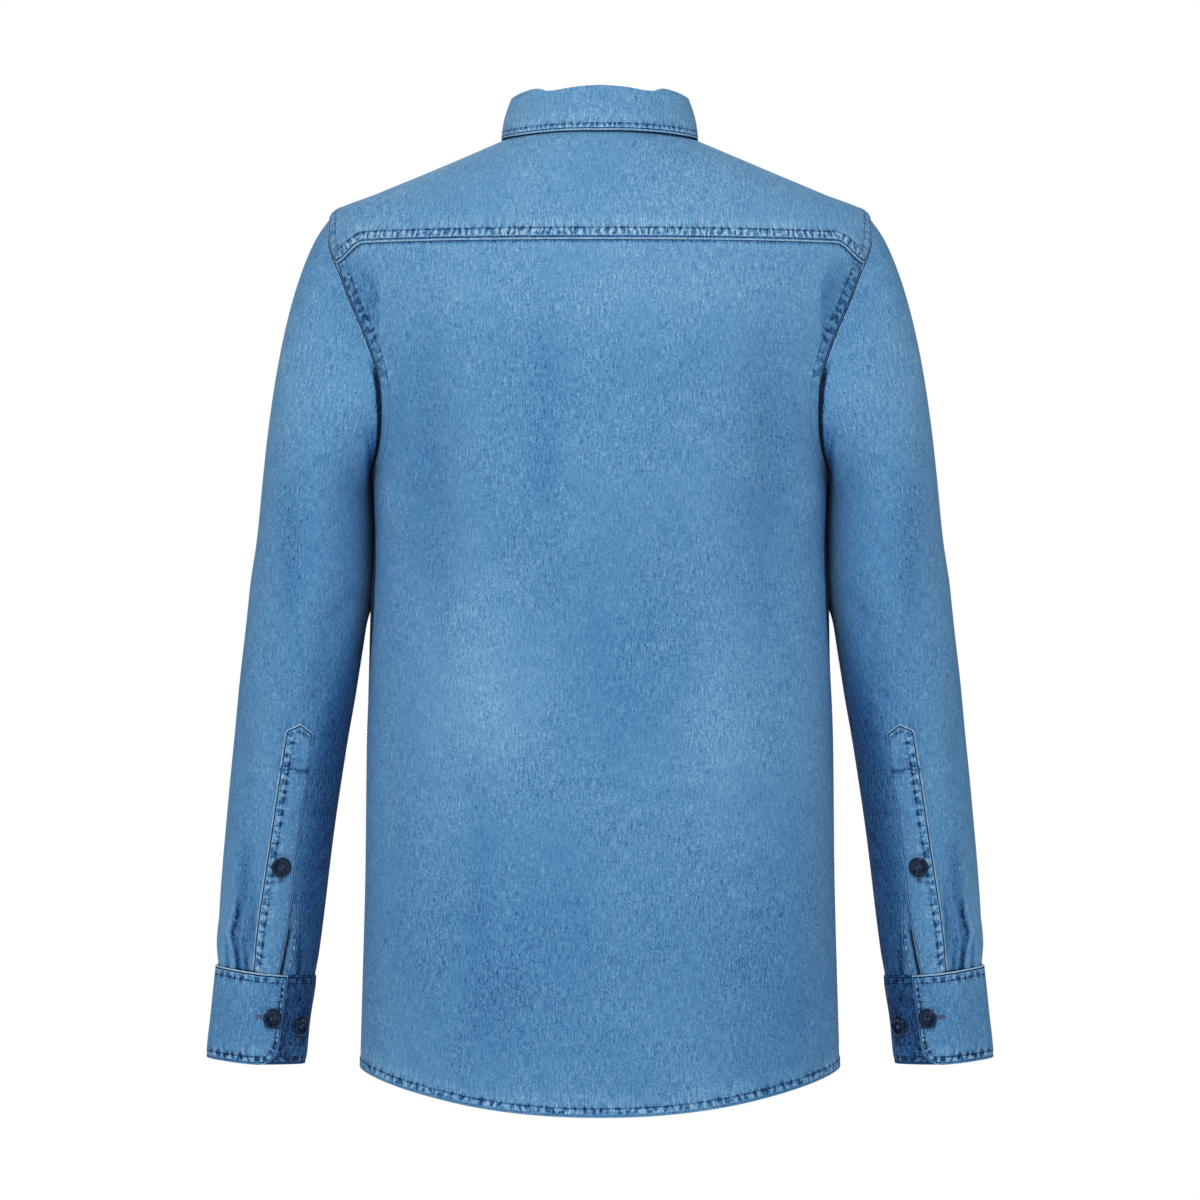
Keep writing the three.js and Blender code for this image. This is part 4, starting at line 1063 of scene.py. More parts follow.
def yoke_outer_edge():
    station = np.linspace(FRONT_CORNER, BACK_CORNER, 49)
    left_angle, left_level = armhole_place(station)
    column = np.linspace(0, 20, 161)[1:-1]
    seam_angle = mix(left_angle[-1], math.pi - left_angle[-1], column / 20)
    seam_level = yoke_seam_level(seam_angle)
    angle = np.concatenate([left_angle, seam_angle, math.pi - left_angle[::-1]])
    level = np.concatenate([left_level, seam_level, left_level[::-1]])
    return angle, level


def neck_front_angle():
    return float(angle_at_depth(np.float64(SHOULDER_FORWARD), NECK_LEVEL))


def make_yoke():
    edge_angle, edge_level = yoke_outer_edge()
    start = neck_front_angle()
    neck_angle = mix(start, math.pi - start, np.linspace(0, 1, len(edge_angle)))
    share = np.linspace(0, 1, 43)[:, None]
    angle, level = neck_places(neck_angle, edge_angle, edge_level, share)
    ring = ring_point(angle, level)
    x, z = ring[..., 0], ring[..., 2]
    base = body_point(angle, level)
    seams = {
        "back": (base[-1, 48:-48], 7.6, 1.0, 0.9, 0.75),
        "left armhole": (base[-1, :49], 8.5, 0.45, 0.9, 0.35),
        "right armhole": (base[-1, -49:], 8.5, 0.45, 0.9, 0.35),
        "left front": (base[:, 0], 5.5, 0.7, 0.8, 0.7),
        "right front": (base[:, -1], 5.5, 0.7, 0.8, 0.7),
    }
    fields = seam_fields(base, seams.values())
    lift = ripple(x, z, 0.25) * smoothstep(fields[..., 1], 0, 14) + fields[..., 5]
    points = body_point(angle, level, lift)
    # The back edge laps a little way down over the back
    lap = np.zeros(points.shape[1])
    lap[49:-49] = 1.3
    points[-1, :, 2] -= lap
    normals = grid_normals(points)
    middle = len(edge_angle) // 2
    piece = cloth("yoke_cloth", points, normals, 0.9, fields, tone_of(YOKE_PAINTED_LIGHT, x, z), middle=middle)
    declare(piece, "yoke", "denim yoke")
    sew("yoke_cloth", points, "end", 2.6, 9.3, part=slice(50, -50))
    for part in (slice(0, 49), slice(-49, None)):
        sew("yoke_cloth", points, "end", 1.9, 8.9, part=part)
    for side in ("first", "last"):
        sew("yoke_cloth", points, side, 1.9, 6.0)


def make_front(side):
    """A front, worked out on the left side. The right one passes under the left at the centre line."""
    is_right = side == "right"
    name = f"front_{side}_cloth"
    corner_angle, corner_level = armhole_place(float(FRONT_CORNER))
    neck = np.linspace(0, 1, 27)[:-1]
    neck_angle, neck_level = neck_places(neck_front_angle(), corner_angle, corner_level, neck)
    index = np.concatenate([np.linspace(0, 9, 48), np.linspace(9, 20, 138)[1:]])
    edge_angle, edge_level = panel_edge(index, FRONT_CORNER, len(ARMHOLE), 9)
    edge_angle = np.concatenate([neck_angle, edge_angle])
    edge_level = np.concatenate([neck_level, edge_level])
    order = np.concatenate([neck * NECK_ROWS, index + NECK_ROWS]) / 25
    even = mix(edge_level[0], HEM_LEVEL, order)
    share = np.linspace(0, 1, 67)
    level = mix(((edge_level + even) / 2)[:, None], edge_level[:, None], share ** 1.6)
    closing = front_angle_at(-FRONT_OVERLAP, level)
    angle = mix(closing, edge_angle[:, None], share)
    ring = ring_point(angle, level)
    x, z = ring[..., 0], ring[..., 2]
    base = body_point(angle, level)
    seams = {
        "yoke": (base[:27, -1], 0.5, 0.6, 0.0, 0.0),
        "armhole": (base[26:74, -1], 7.0, 0.9, 0.8, 0.35),
        "side": (base[74:, -1], 1.5, 0.3, 0.4, 0.2),
        "hem": (base[-1], 6.2, 0.85, 0.5, 0.55),
        "closing edge": (base[:, 0], 5.0, 0.5, 0.7, 0.2),
    }
    fields = seam_fields(base, seams.values())
    to_yoke, _ = near(base, base[:27, -1])
    real_x = -x if is_right else x
    lift = crease_rise(FRONT_CREASES, real_x, z) + ripple(real_x + 300, z, 0.3)
    lift = lift * smoothstep(fields[..., 1], 0, 14) * smoothstep(x, 16, 60) + fields[..., 5]
    lift = lift - 0.7 * (1 - smoothstep(to_yoke, 3, 12))
    if is_right:
        lift = lift * smoothstep(x, 20, 50) - 2.2 * (1 - smoothstep(x, FRONT_OVERLAP, 3 * FRONT_OVERLAP))
    else:
        lift = lift + 0.35 * (1 - smoothstep(x, 15.5, 17.5))
    points = body_point(angle, level, lift)
    normals = grid_normals(points)
    # The back's wash with its painted light and shade, and a painted shadow on the side of the front that lies
    # behind the sleeve
    tone = tone_of(BACK_WASH_AND_PAINTED_LIGHT, real_x * 0.9, z + 14)
    behind = smoothstep(points[..., 1], -12, 6) * smoothstep(-z, 215, 240) * smoothstep(-z, 420, 390)
    tone = tone - 1.5 * behind
    piece = cloth(name, points, normals, 1.0, fields, tone, middle=10, mirror=is_right)
    declare(piece, f"front_{side}", "denim fronts")
    sew(name, points, "last", 1.9, 7.4, part=slice(26, 74))
    sew(name, points, "end", 6.4)
    if not is_right:
        sew(name, points, "first", 3.0, 29.5)


# The collar
def stand_base(angle, sunk=0.0):
    level = np.full(np.shape(angle), float(NECK_LEVEL))
    point = ring_point(angle, level)
    outward = unit(point * (1, 1, 0))
    return point - outward * (0.35 + np.asarray(sunk)[..., None]), outward


def stand_point(angle, share, sunk=0.0):
    point, outward = stand_base(angle, sunk)
    height = mix(STAND_FRONT_HEIGHT, STAND_HEIGHT, (1 + np.sin(angle)) / 2) - collar_dip(angle)
    rise = (share * (height + SOLID_CLOTH) - SOLID_CLOTH)[..., None]
    return point - outward * rise * math.sin(STAND_LEAN) + rise * math.cos(STAND_LEAN) * np.array([0, 0, 1.0])


def make_stand():
    overlap = math.asin(STAND_OVERLAP / BODY_ROWS[0][3])
    end = 3 * RIGHT_ANGLE + overlap
    angle = np.linspace(-RIGHT_ANGLE - overlap, end, 221)[None]
    share = np.linspace(1, 0, 17)[:, None]
    angle, share = np.broadcast_arrays(angle, share)
    sunk = (SOLID_CLOTH + LAYER_GAP) * smoothstep(angle, end - 4 * overlap, end - 1.6 * overlap)
    swell = 0.25 * np.sin(math.pi * share)
    points = stand_point(angle, share, sunk - swell)
    normals = grid_normals(points)
    seams = (
        (points[0], 2.0, 0.3, 0.5, 0.0), (points[-1], 3.0, 0.6, 0.8, 0.0),
        (points[:, 0], 3.0, 0.6, 0.9, 0.0),
    )
    fields = seam_fields(points, seams)
    tone = np.zeros(angle.shape)
    piece = cloth("collar_stand_cloth", points, normals, 1.2, fields, tone, middle=110)
    declare(piece, "collar_stand", "denim collar")
    for side in ("end", "first"):
        sew("collar_stand_cloth", points, side, 2.6)


# How far the collar's fold dips below an even height, from a side of the neck round to the middle of the back
COLLAR_DIP = curves(("turn", "dip"), (
    (30, 0), (40, 0.3), (46, 1.4), (53, 4.6), (60, 5.4), (75, 4.8), (90, 4.3),
))


def collar_dip(angle):
    turn = 90 - np.abs(np.degrees(angle) - 90)
    return np.where(turn > 30, COLLAR_DIP["dip"](turn), 0.0)


LEAF_EDGE = curves(("turn", "angle", "level", "clear"), (
    (90, 90, -8, 2.7), (50, 50, -6.5, 2.4), (0, 0, -1.5, 1.4), (-35, -35, -8, 1.6), (-62, -60, -26, 2.4),
    (-83, -71.5, -46, 3),
))
LEAF_SECTION = curves(("row", "out", "up"), (
    (0, 0, 0.3), (1, 0, 1.6), (2, 0.3, 2.8), (3, 1.7, 3.4), (4, 3.1, 2.8), (5, 3.5, 1.4),
))


def leaf_point(turn, row):
    """The leaf's middle layer, over the fold and down to its free edge."""
    angle = np.radians(turn)
    _, outward = stand_base(angle)
    middle = stand_point(angle, np.ones(angle.shape)) - outward * SOLID_CLOTH / 2
    section = np.minimum(row, 5)
    up = LEAF_SECTION["up"](section)[..., None] * np.array([0, 0, 1.0])
    rolled = middle + outward * LEAF_SECTION["out"](section)[..., None] + up
    share = (np.maximum(row - 5, 0) / 4)[..., None]
    place = (np.radians(LEAF_EDGE["angle"](turn)), LEAF_EDGE["level"](turn))
    edge = ring_point(*place) + body_normal(*place) * LEAF_EDGE["clear"](turn)[..., None]
    return mix(rolled, edge, share) + outward * 1.5 * np.sin(math.pi * share)


def make_leaf():
    off = np.linspace(-1, 1, 241)
    turn = 90 - 173 * np.abs(off)
    row = np.concatenate([np.linspace(0, 5, 19), np.linspace(5, 9, 37)[1:]])
    turn, row = np.broadcast_arrays(turn[None], row[:, None])
    middle = leaf_point(turn, row)
    middle = np.where((off > 0)[None, :, None], middle * (-1, 1, 1), middle)
    normals = grid_normals(middle)
    seams = (
        (middle[-1], 4.6, 0.8, 1.0, 0.0), (middle[18:, 0], 4.6, 0.8, 1.0, 0.0),
        (middle[18:, -1], 4.6, 0.8, 1.0, 0.0),
    )
    fields = seam_fields(middle, seams)
    across = off[None] * 240
    wave = ripple(across, middle[..., 2] * 2, 0.25) * smoothstep(row, 4, 6)
    edge_roll = 0.25 * (1 - smoothstep(fields[..., 1], 1.5, 5))
    points = middle + normals * (0.6 + wave + edge_roll)[..., None]
    normals = grid_normals(points)
    tone = np.zeros(turn.shape)
    piece = cloth("collar_leaf_cloth", points, normals, 1.3, fields, tone, middle=120)
    declare(piece, "collar_leaf", "denim collar")
    sew("collar_leaf_cloth", points, "end", 5.2)
    for side in ("first", "last"):
        sew("collar_leaf_cloth", points, side, 5.2, part=slice(18, None))


# The sleeves
def sleeve_grid():
    # Columns stand closer together where the pleats are
    turn = np.linspace(0, 2 * math.pi, 169)[:-1]
    closer = 0.55 * (np.sin(turn - PLEAT_TURN) + math.sin(PLEAT_TURN))
    station = (turn - closer) / (2 * math.pi) * len(ARMHOLE)
    share = np.linspace(0, 1, 40)[:-1]
    head = head_point(station[None], share[:, None])
    angle = armhole_angle(station)
    height = np.concatenate([np.linspace(BICEP, PLEAT_TOP, 84)[:-1], np.linspace(PLEAT_TOP, SLEEVE_END, 56)])
    tube_angle, tube_height = np.broadcast_arrays(angle[None], height[:, None])
    return station, head, tube_angle, tube_height


def sleeve_weave(points):
    """The run of the weave round and down a sleeve, along whose length it hangs."""
    closed = joined(points)
    x, y, z = closed[..., 0], closed[..., 1], closed[..., 2]
    low = np.minimum(z, BICEP)
    middle_x = SLEEVE["x"](low) + np.clip(z - BICEP, 0, None) * -0.16
    middle_y = SLEEVE["y"](low)
    turn = np.unwrap(np.arctan2(y - middle_y, x - middle_x), axis=1)
    drop = -z + 0.6 * (x - 190) * smoothstep(z, -210, -110)
    return turn * WEAVE_ROUND, drop


def make_sleeve(side):
    name = f"sleeve_{side}_cloth"
    station, head, tube_angle, tube_height = sleeve_grid()
    degrees = np.degrees(tube_angle) % 360
    tube_lift = 1.3 * crease_rise(SLEEVE_CREASES, degrees, tube_height, DEGREE)
    tube_lift = tube_lift + ripple(degrees * 0.9, tube_height, 0.35) * smoothstep(tube_height, -275, -300)
    # The upper arm's cloth swells towards the body, so that no daylight shows between them
    swell = SLEEVE_SWELL * np.exp(-((degrees - SWELL_TURN) / SWELL_WIDTH) ** 2)
    tube_lift = tube_lift + swell * smoothstep(tube_height, -372, -338)
    tube_lift = tube_lift + pleat_rise_and_shade(sleeve_point(tube_angle, tube_height))[0]
    tube = sleeve_point(tube_angle, tube_height, tube_lift)
    below = sleeve_point(tube_angle[:1], tube_height[:1])
    head_normals = -grid_normals(np.concatenate([head, below]), closed=True)[:-1]
    head_degrees = np.broadcast_to(degrees[0], head.shape[:2])
    rows = np.arange(len(head))[:, None]
    head_lift = crease_rise(SLEEVE_CREASES, head_degrees, head[..., 2], DEGREE) * smoothstep(rows, 2, 10)
    head_lift = head_lift + swell[0] * smoothstep(head[..., 2], -218, -268) * smoothstep(rows, 6, 30)
    ease = 1 - smoothstep(rows, 0, 5)
    head = head + head_normals * (head_lift - HEAD_DIP * ease)[..., None]
    # The seam allowance lies under the edge of the body
    place = armhole_place(station)
    wall = body_normal(*place)
    start = body_point(*place)
    tangent = unit(np.roll(start, -1, axis=0) - np.roll(start, 1, axis=0))
    into_body = unit(np.cross(wall, tangent))
    away = head[1] - start
    into_body = np.where((into_body * away).sum(-1, keepdims=True) > 0, -into_body, into_body)
    under = start + into_body * 3.5 - wall * 2.3
    points = np.concatenate([under[None], head, tube])
    normals = -grid_normals(points, closed=True)
    seams = ((np.concatenate([points[-1], points[-1, :1]]), 0.5, 0.6, 0.0, 0.0),)
    fields = seam_fields(points, seams)
    to_armhole = np.clip(run_lengths(points, 0) - 3, 0, SEAM_REACH)
    is_head = to_armhole < 30
    off = np.clip(to_armhole - 1.5, 0.05, SEAM_REACH)
    for i, value in enumerate((run_lengths(points, 1), off, 0.5, 0.3, 1.2)):
        fields[..., i] = np.where(is_head, value, fields[..., i])
    # Painted light and shade of the sleeve, and the shade painted in its pleats and slit
    tone = tone_of(SLEEVE_LIGHT_AND_SHADE, points[..., 0], points[..., 2]) + pleat_rise_and_shade(points)[1]
    # The inner face of the sleeve, turned to the body, is painted darker lower down, as shade
    share = (points[..., 0] - SLEEVE["x"](points[..., 2])) / SLEEVE["half_width"](points[..., 2])
    is_inner = (share < 0) * (points[..., 1] > -60)
    low = smoothstep(points[..., 2], -330, -470)
    tone = tone - is_inner * smoothstep(-share, 0.22, 0.85) * low * 0.68
    # A painted shadow along the head's edge at the armhole, where the sleeve lies beside the body
    is_beside = smoothstep(points[..., 2], -168, -186) * (points[..., 1] > -20) * is_head
    tone = tone - 1.8 * (1 - smoothstep(to_armhole, 4.5, 8.5)) * is_beside
    # Painted shade in the underarm, on the inner side of the sleeve next to the body
    armpit_shade = smoothstep(-share, 0.95, 1.08) * smoothstep(points[..., 2], -215, -255) * (1 - low)
    tone = tone - is_inner * armpit_shade * 1.1
    is_right = side == "right"
    weave = sleeve_weave(points)
    piece = cloth(name, points, normals, 1.0, fields, tone, closed=True, mirror=is_right, weave=weave)
    declare(piece, f"sleeve_{side}", "denim sleeves")


def make_strip(kind, side, table, rows, columns, peak, lift):
    """A strip that lies on the sleeve beside its slit."""
    name = f"sleeve_{kind}_{side}_cloth"
    strip = curves(STRIP_NAMES, table)
    row = np.linspace(0, 1, rows)[:, None]
    share = np.linspace(0, 1, columns)[None]
    height = mix(table[0][0], table[-1][0], row) + peak * (1 - np.abs(2 * share - 1)) * (1 - row) ** 12
    angle = sleeve_angle(mix(strip["outer"](height), strip["inner"](height), share), height)
    normals = sleeve_normal(angle, height)
    degrees = np.degrees(angle)
    crinkle = 0.22 * np.sin(height / 2.3 + np.sin(height / 9.0) * 2) * np.sin(math.pi * share)
    crinkle = crinkle * (0.4 + 0.6 * np.sin(height / 17.0 + 1) ** 2)
    rise = lift + sleeve_rise(angle, height) + crinkle
    rise = rise + crease_rise(SLEEVE_CREASES, degrees, height, DEGREE).clip(0, 2)
    points = section_point(angle, height) + normals * rise[..., None]
    is_binding = kind == "binding"
    bar_row = int(rows * 0.155)
    if is_binding:
        seams = ((points[:, 0], 1.0, 0.2, 0.0, 0.0), (points[:, -1], 5.0, 0.9, 0.9, 0.0))
        # The shadow in the slit
        to_slit, _ = near(points, points[:, 0])
        tone = 0.08 - 2.3 * (1 - smoothstep(to_slit, 0.5, 1.5)) * smoothstep(height, -592, -612)
    else:
        seams = (
            (points[:, 0], 6.4, 0.85, 1.3, 0.0), (points[:, -1], 2.5, 0.2, 0.7, 0.0),
            (points[0], 5.0, 0.7, 1.2, 0.0),
        )
        tone = 0.08 - np.exp(-((height - height[bar_row]) / 1.3) ** 2)
    fields = seam_fields(points, seams)
    piece = cloth(name, points, grid_normals(points), 0.9, fields, tone, mirror=side == "right")
    declare(piece, f"sleeve_{kind}_{side}",
            "denim sleeves")
    sew(name, points, "first", 1.5)
    if is_binding:
        sew(name, points, "last", 1.5)
        return
    sew(name, points, "first", 7.6)
    sew(name, points, "last", 1.5, end=0.2)
    sew(name, points, "top", 1.6)
    bar = points[bar_row]
    for offset in (0.1, 2.2):
        stitch_along(name, bar, np.broadcast_to((0, 0, -1.0), bar.shape), offset)


def cuff_start():
    return float(sleeve_angle(CUFF_EDGE, (CUFF_TOP + CUFF_BOTTOM) / 2))


def cuff_lift(past):
    return CUFF_LIFT * (1 - smoothstep(past / CUFF_TURN, 0.72, 0.86))


def make_cuff(side):
    """The cuff, a stiffened band whose end with the rounded corner laps over its start."""
    name = f"cuff_{side}_cloth"
    share = np.concatenate([np.linspace(0, 0.12, 41)[:-1], np.linspace(0.12, 1, 161)])[None]
    row = np.linspace(0, 1, 43)[:, None]
    angle = cuff_start() - CUFF_TURN * share
    bottom = section_point(angle, np.full(angle.shape, float(CUFF_BOTTOM)))
    off = run_lengths(bottom, 1)
    near_end = np.clip(CUFF_CORNER - off, 0, CUFF_CORNER)
    rise = CUFF_CORNER - np.sqrt(CUFF_CORNER ** 2 - near_end ** 2)
    height = mix(CUFF_TOP, CUFF_BOTTOM + rise, row)
    angle = np.broadcast_to(angle, height.shape)
    across = angle * 38
    raised = cuff_lift(CUFF_TURN * share)
    normals = sleeve_normal(angle, height)
    base = section_point(angle, height) + normals * raised[..., None]
    seams = (
        (base[0], 6.0, 0.8, 1.6, 0.0), (base[-1], 5.5, 1.15, 0.6, 0.0),
        (base[:, 0], 4.4, 1.15, 0.7, 0.0), (base[:, -1], 4.0, 0.5, 0.5, 0.0),
    )
    start = share[0] < 0.7
    fields = seam_fields(base, seams[:2])
    fields[:, start] = seam_fields(base[:, start], seams[:3])
    under_lap = seam_fields(base[:, ~start], (seams[0], seams[1], seams[3]))
    fields[:, ~start] = under_lap * (1, 1, 1, 0.5, 0.3, 1)
    full = smoothstep(fields[..., 1], 0, 9)
    wave = 0.32 * np.sin(across / 11.0 + height / 14.0) + 0.25 * np.sin(height / 8.0 - across / 19.0 + 1)
    lift = raised + full * (0.15 + wave * 0.8)
    points = section_point(angle, height) + normals * lift[..., None]
    normals = -grid_normals(points)
    # The part of the band that lies under the lap is painted darker, as shadow
    under = smoothstep(share, 0.68, 0.8)
    tone = np.broadcast_to(-0.75 * under, height.shape)
    piece = cloth(name, points, normals, 1.2, fields, tone, mirror=side == "right")
    declare(piece, f"cuff_{side}", "denim cuffs")
    for edge, offset in (("first", 4.6), ("end", 5.6), ("top", 6.2), ("last", 4.0)):
        sew(name, points, edge, offset)


# Stitching, buttonholes and buttons
def stitch_tree():
    """Lays stitches end to end along lines, each square to the cloth below it."""
    tree = bpy.data.node_groups.new("stitch rows", "GeometryNodeTree")
    inputs = {"Geometry": "Geometry", "Pitch": "Float", "Length": "Float", "Thickness": "Float",
              "Turn": "Float", "Seed": "Int", "Material": "Material"}
    for label, kind in inputs.items():
        tree.interface.new_socket(label, in_out="INPUT", socket_type=f"NodeSocket{kind}")
    tree.interface.new_socket("Geometry", in_out="OUTPUT", socket_type="NodeSocketGeometry")
    w = Wiring(tree)
    given = w.node("NodeGroupInput").outputs
    line = w.node("GeometryNodeMeshToCurve", {0: given["Geometry"]}).outputs[0]
    spaced = w.node("GeometryNodeResampleCurve", {"Curve": line, "Length": given["Pitch"]}, mode="LENGTH")
    up = w.node("GeometryNodeInputNamedAttribute", {"Name": "up"}, data_type="FLOAT_VECTOR")
    square = w.node("FunctionNodeAlignRotationToVector", {"Vector": up.outputs[0]}, axis="Z")
    tangent = w.node("GeometryNodeInputTangent").outputs[0]
    forward = w.node("FunctionNodeAlignRotationToVector", {"Rotation": square.outputs[0], "Vector": tangent},
                     axis="X", pivot_axis="Z")
    stray = w.node("FunctionNodeRandomValue", {"Min": -STRAY, "Max": STRAY, "Seed": given["Seed"]},
                   data_type="FLOAT")
    angle = w.total(stray.outputs["Value"], given["Turn"])
    turn = w.node("FunctionNodeEulerToRotation", {0: w.vector(0.0, 0.0, angle)})
    both = w.node("FunctionNodeRotateRotation", {0: forward.outputs[0], 1: turn.outputs[0]},
                  rotation_space="LOCAL")
    bead = w.node("GeometryNodeMeshUVSphere", {"Segments": 6, "Rings": 4, "Radius": 0.5}).outputs["Mesh"]
    upright = w.node("GeometryNodeTransform", {"Geometry": bead, "Rotation": (0, RIGHT_ANGLE, 0)})
    size = w.vector(given["Length"], given["Thickness"], w.times(given["Thickness"], 0.75))
    scaled = w.node("GeometryNodeTransform", {"Geometry": upright.outputs[0], "Scale": size})
    placed = w.node("GeometryNodeInstanceOnPoints", {
        "Points": spaced.outputs[0], "Instance": scaled.outputs[0], "Rotation": both.outputs[0],
    })
    real = w.node("GeometryNodeRealizeInstances", {0: placed.outputs[0]})
    rounded = w.node("GeometryNodeSetShadeSmooth", {"Geometry": real.outputs[0]})
    finish = w.node("GeometryNodeSetMaterial", {"Geometry": rounded.outputs[0],
                                                "Material": given["Material"]})
    w.node("NodeGroupOutput", {0: finish.outputs[0]})
    return tree


def baked(holder, **options):
    """The result of an object's modifiers as a plain mesh. The object goes."""
    graph = bpy.context.evaluated_depsgraph_get()
    mesh = bpy.data.meshes.new_from_object(holder.evaluated_get(graph), depsgraph=graph, **options)
    bpy.data.objects.remove(holder)
    return mesh


def stitched(name, rows, finish, lift, values):
    """Sews stitches along rows, at a height above the cloth, as one piece."""
    places = []
    ups = []
    edges = []
    for points, normals in rows:
        start = len(places)
        places.extend(((points + normals * lift) / 1000).tolist())
        ups.extend(normals.tolist())
        edges.extend((start + i, start + i + 1) for i in range(len(points) - 1))
    mesh = bpy.data.meshes.new(name + " lines")
    mesh.from_pydata(places, edges, [])
    add_layer(mesh, "up", "FLOAT_VECTOR", ups)
    holder = add_object(name + " lines", mesh)
    tree = bpy.data.node_groups.get("stitch rows") or stitch_tree()
    modifier = holder.modifiers.new("stitches", "NODES")
    modifier.node_group = tree
    sockets = {item.name: item.identifier for item in tree.interface.items_tree if item.in_out == "INPUT"}
    for label, value in values.items():
        modifier[sockets[label]] = value
    modifier[sockets["Material"]] = material_named(finish)
    piece = add_object(name, baked(holder, preserve_all_data_layers=True))
    piece.data.name = name
    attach(piece, "root")


def round_profile(radius, height):
    """A four-hole button's section from the middle of its dish to the middle of its base."""
    return (
        (0.0, height * 0.55), (radius * 0.36, height * 0.55), (radius * 0.54, height * 0.6),
        (radius * 0.66, height * 0.82), (radius * 0.78, height), (radius * 0.88, height * 0.98),
        (radius * 0.985, height * 0.78), (radius, height * 0.55), (radius * 0.95, height * 0.22),
        (radius * 0.84, 0.0), (0.0, 0.0),
    )


def thread_arch(bm, x, height):
    """A strand of a button's thread, from one hole up and over to the next."""
    before = None
    for step in range(ARCH_STEPS + 1):
        t = step / ARCH_STEPS
        y = (t * 2 - 1) * 0.00135
        z = (height * 0.55 - 0.4 + 0.95 * math.sin(math.pi * t) ** 0.45) / 1000
        ring = []
        for corner in range(6):
            turn = corner * math.pi / 3
            across = STRAND_RADIUS * math.cos(turn)
            up = STRAND_RADIUS * math.sin(turn)
            ring.append(bm.verts.new((x + across, y, z + up)))
        if before:
            for corner in range(6):
                after = (corner + 1) % 6
                bm.faces.new((before[corner], before[after], ring[after], ring[corner]))
        else:
            bm.faces.new(ring)
        before = ring
    bm.faces.new(before[::-1])


def in_order(mesh):
    """The same mesh with its points and faces in a fixed order, since a cut gives them in any order."""
    keys = [tuple(round(part, 7) for part in point.co) for point in mesh.vertices]
    order = sorted(range(len(keys)), key=keys.__getitem__)
    place = {old: new for new, old in enumerate(order)}
    faces = []
    for polygon in mesh.polygons:
        corners = [place[i] for i in polygon.vertices]
        first = corners.index(min(corners))
        faces.append(corners[first:] + corners[:first])
    result = bpy.data.meshes.new(mesh.name)
    result.from_pydata([mesh.vertices[i].co for i in order], [], sorted(faces))
    bpy.data.meshes.remove(mesh)
    return result


def button_mesh(radius, height):
    """A turned button with four real holes, and two stitches of thread over its middle."""
    bm = bmesh.new()
    profile = [bm.verts.new((r / 1000, 0, z / 1000)) for r, z in round_profile(radius, height)]
    edges = [bm.edges.new(pair) for pair in zip(profile[:-1], profile[1:])]
    bmesh.ops.spin(bm, geom=profile + edges, axis=(0, 0, 1), cent=(0, 0, 0), steps=40, angle=2 * math.pi)
    bmesh.ops.remove_doubles(bm, verts=bm.verts, dist=1e-6)
    bmesh.ops.recalc_face_normals(bm, faces=bm.faces)
    body = add_object("button disc", bpy.data.meshes.new("button disc"))
    bm.to_mesh(body.data)
    bm.clear()
    for x in (-HOLE_OFF, HOLE_OFF):
        for y in (-HOLE_OFF, HOLE_OFF):
            place = Matrix.Translation((x, y, height / 2000))
            bmesh.ops.create_cone(bm, cap_ends=True, segments=12, radius1=HOLE_RADIUS, radius2=HOLE_RADIUS,
                                  depth=height / 400, matrix=place)
    holes = add_object("button holes", bpy.data.meshes.new("button holes"))
    bm.to_mesh(holes.data)
    bm.clear()
    cut = body.modifiers.new("holes", "BOOLEAN")
    cut.object = holes
    cut.operation = "DIFFERENCE"
    cut.solver = "EXACT"
    mesh = in_order(baked(body))
    bpy.data.objects.remove(holes)
    bm.from_mesh(mesh)
    for face in bm.faces:
        face.material_index = 0
    resin = set(bm.faces)
    for x in (-HOLE_OFF, HOLE_OFF):
        for strand in (-STRAND_OFF, STRAND_OFF):
            thread_arch(bm, x + strand, height)
    strands = [face for face in bm.faces if face not in resin]
    bmesh.ops.recalc_face_normals(bm, faces=strands)
    for face in strands:
        face.material_index = 1
    for face in bm.faces:
        face.smooth = True
    bm.to_mesh(mesh)
    bm.free()
    return mesh


def put_button(node, template, place, turn, is_right=False):
    """A button laid on the cloth, with its face along the cloth's normal."""
    point, normal = place
    if is_right:
        point = point * (-1, 1, 1)
        normal = normal * (-1, 1, 1)
    normal = Vector(normal)
    lie = normal.to_track_quat("Z", "Y").to_matrix().to_4x4()
    move = Matrix.Translation(Vector(point / 1000) + normal * 0.0003)
    mesh = template.copy()
    mesh.transform(move @ lie @ Matrix.Rotation(turn, 4, "Z"))
    mesh.name = f"{node}_turned"
    for finish in ("button resin", "button thread"):
        mesh.materials.append(material_named(finish))
    piece = add_object(f"{node}_turned", mesh)
    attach(piece, "root")
    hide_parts(node)


def buttonhole(surface, middle, way, length=BUTTONHOLE):
    """Two close rows of thread, one on each side of a slit."""
    place, normal = snapped(surface, middle)
    way = unit(way - normal * (way * normal).sum())
    side = np.cross(normal, way)
    for offset in (-0.85, 0.85):
        spots = [place + normal * 2 + way * length * t + side * offset for t in np.linspace(-0.5, 0.5, 9)]
        add_row(BUTTONHOLES, surface, spots)


def front_level(height):
    """The level of the body's ring that passes the middle of the front at a height."""
    def height_at(level):
        return ring_point(np.full(level.shape, -RIGHT_ANGLE), level)[..., 2]

    return solve(height_at, height, HEM_LEVEL, NECK_LEVEL)


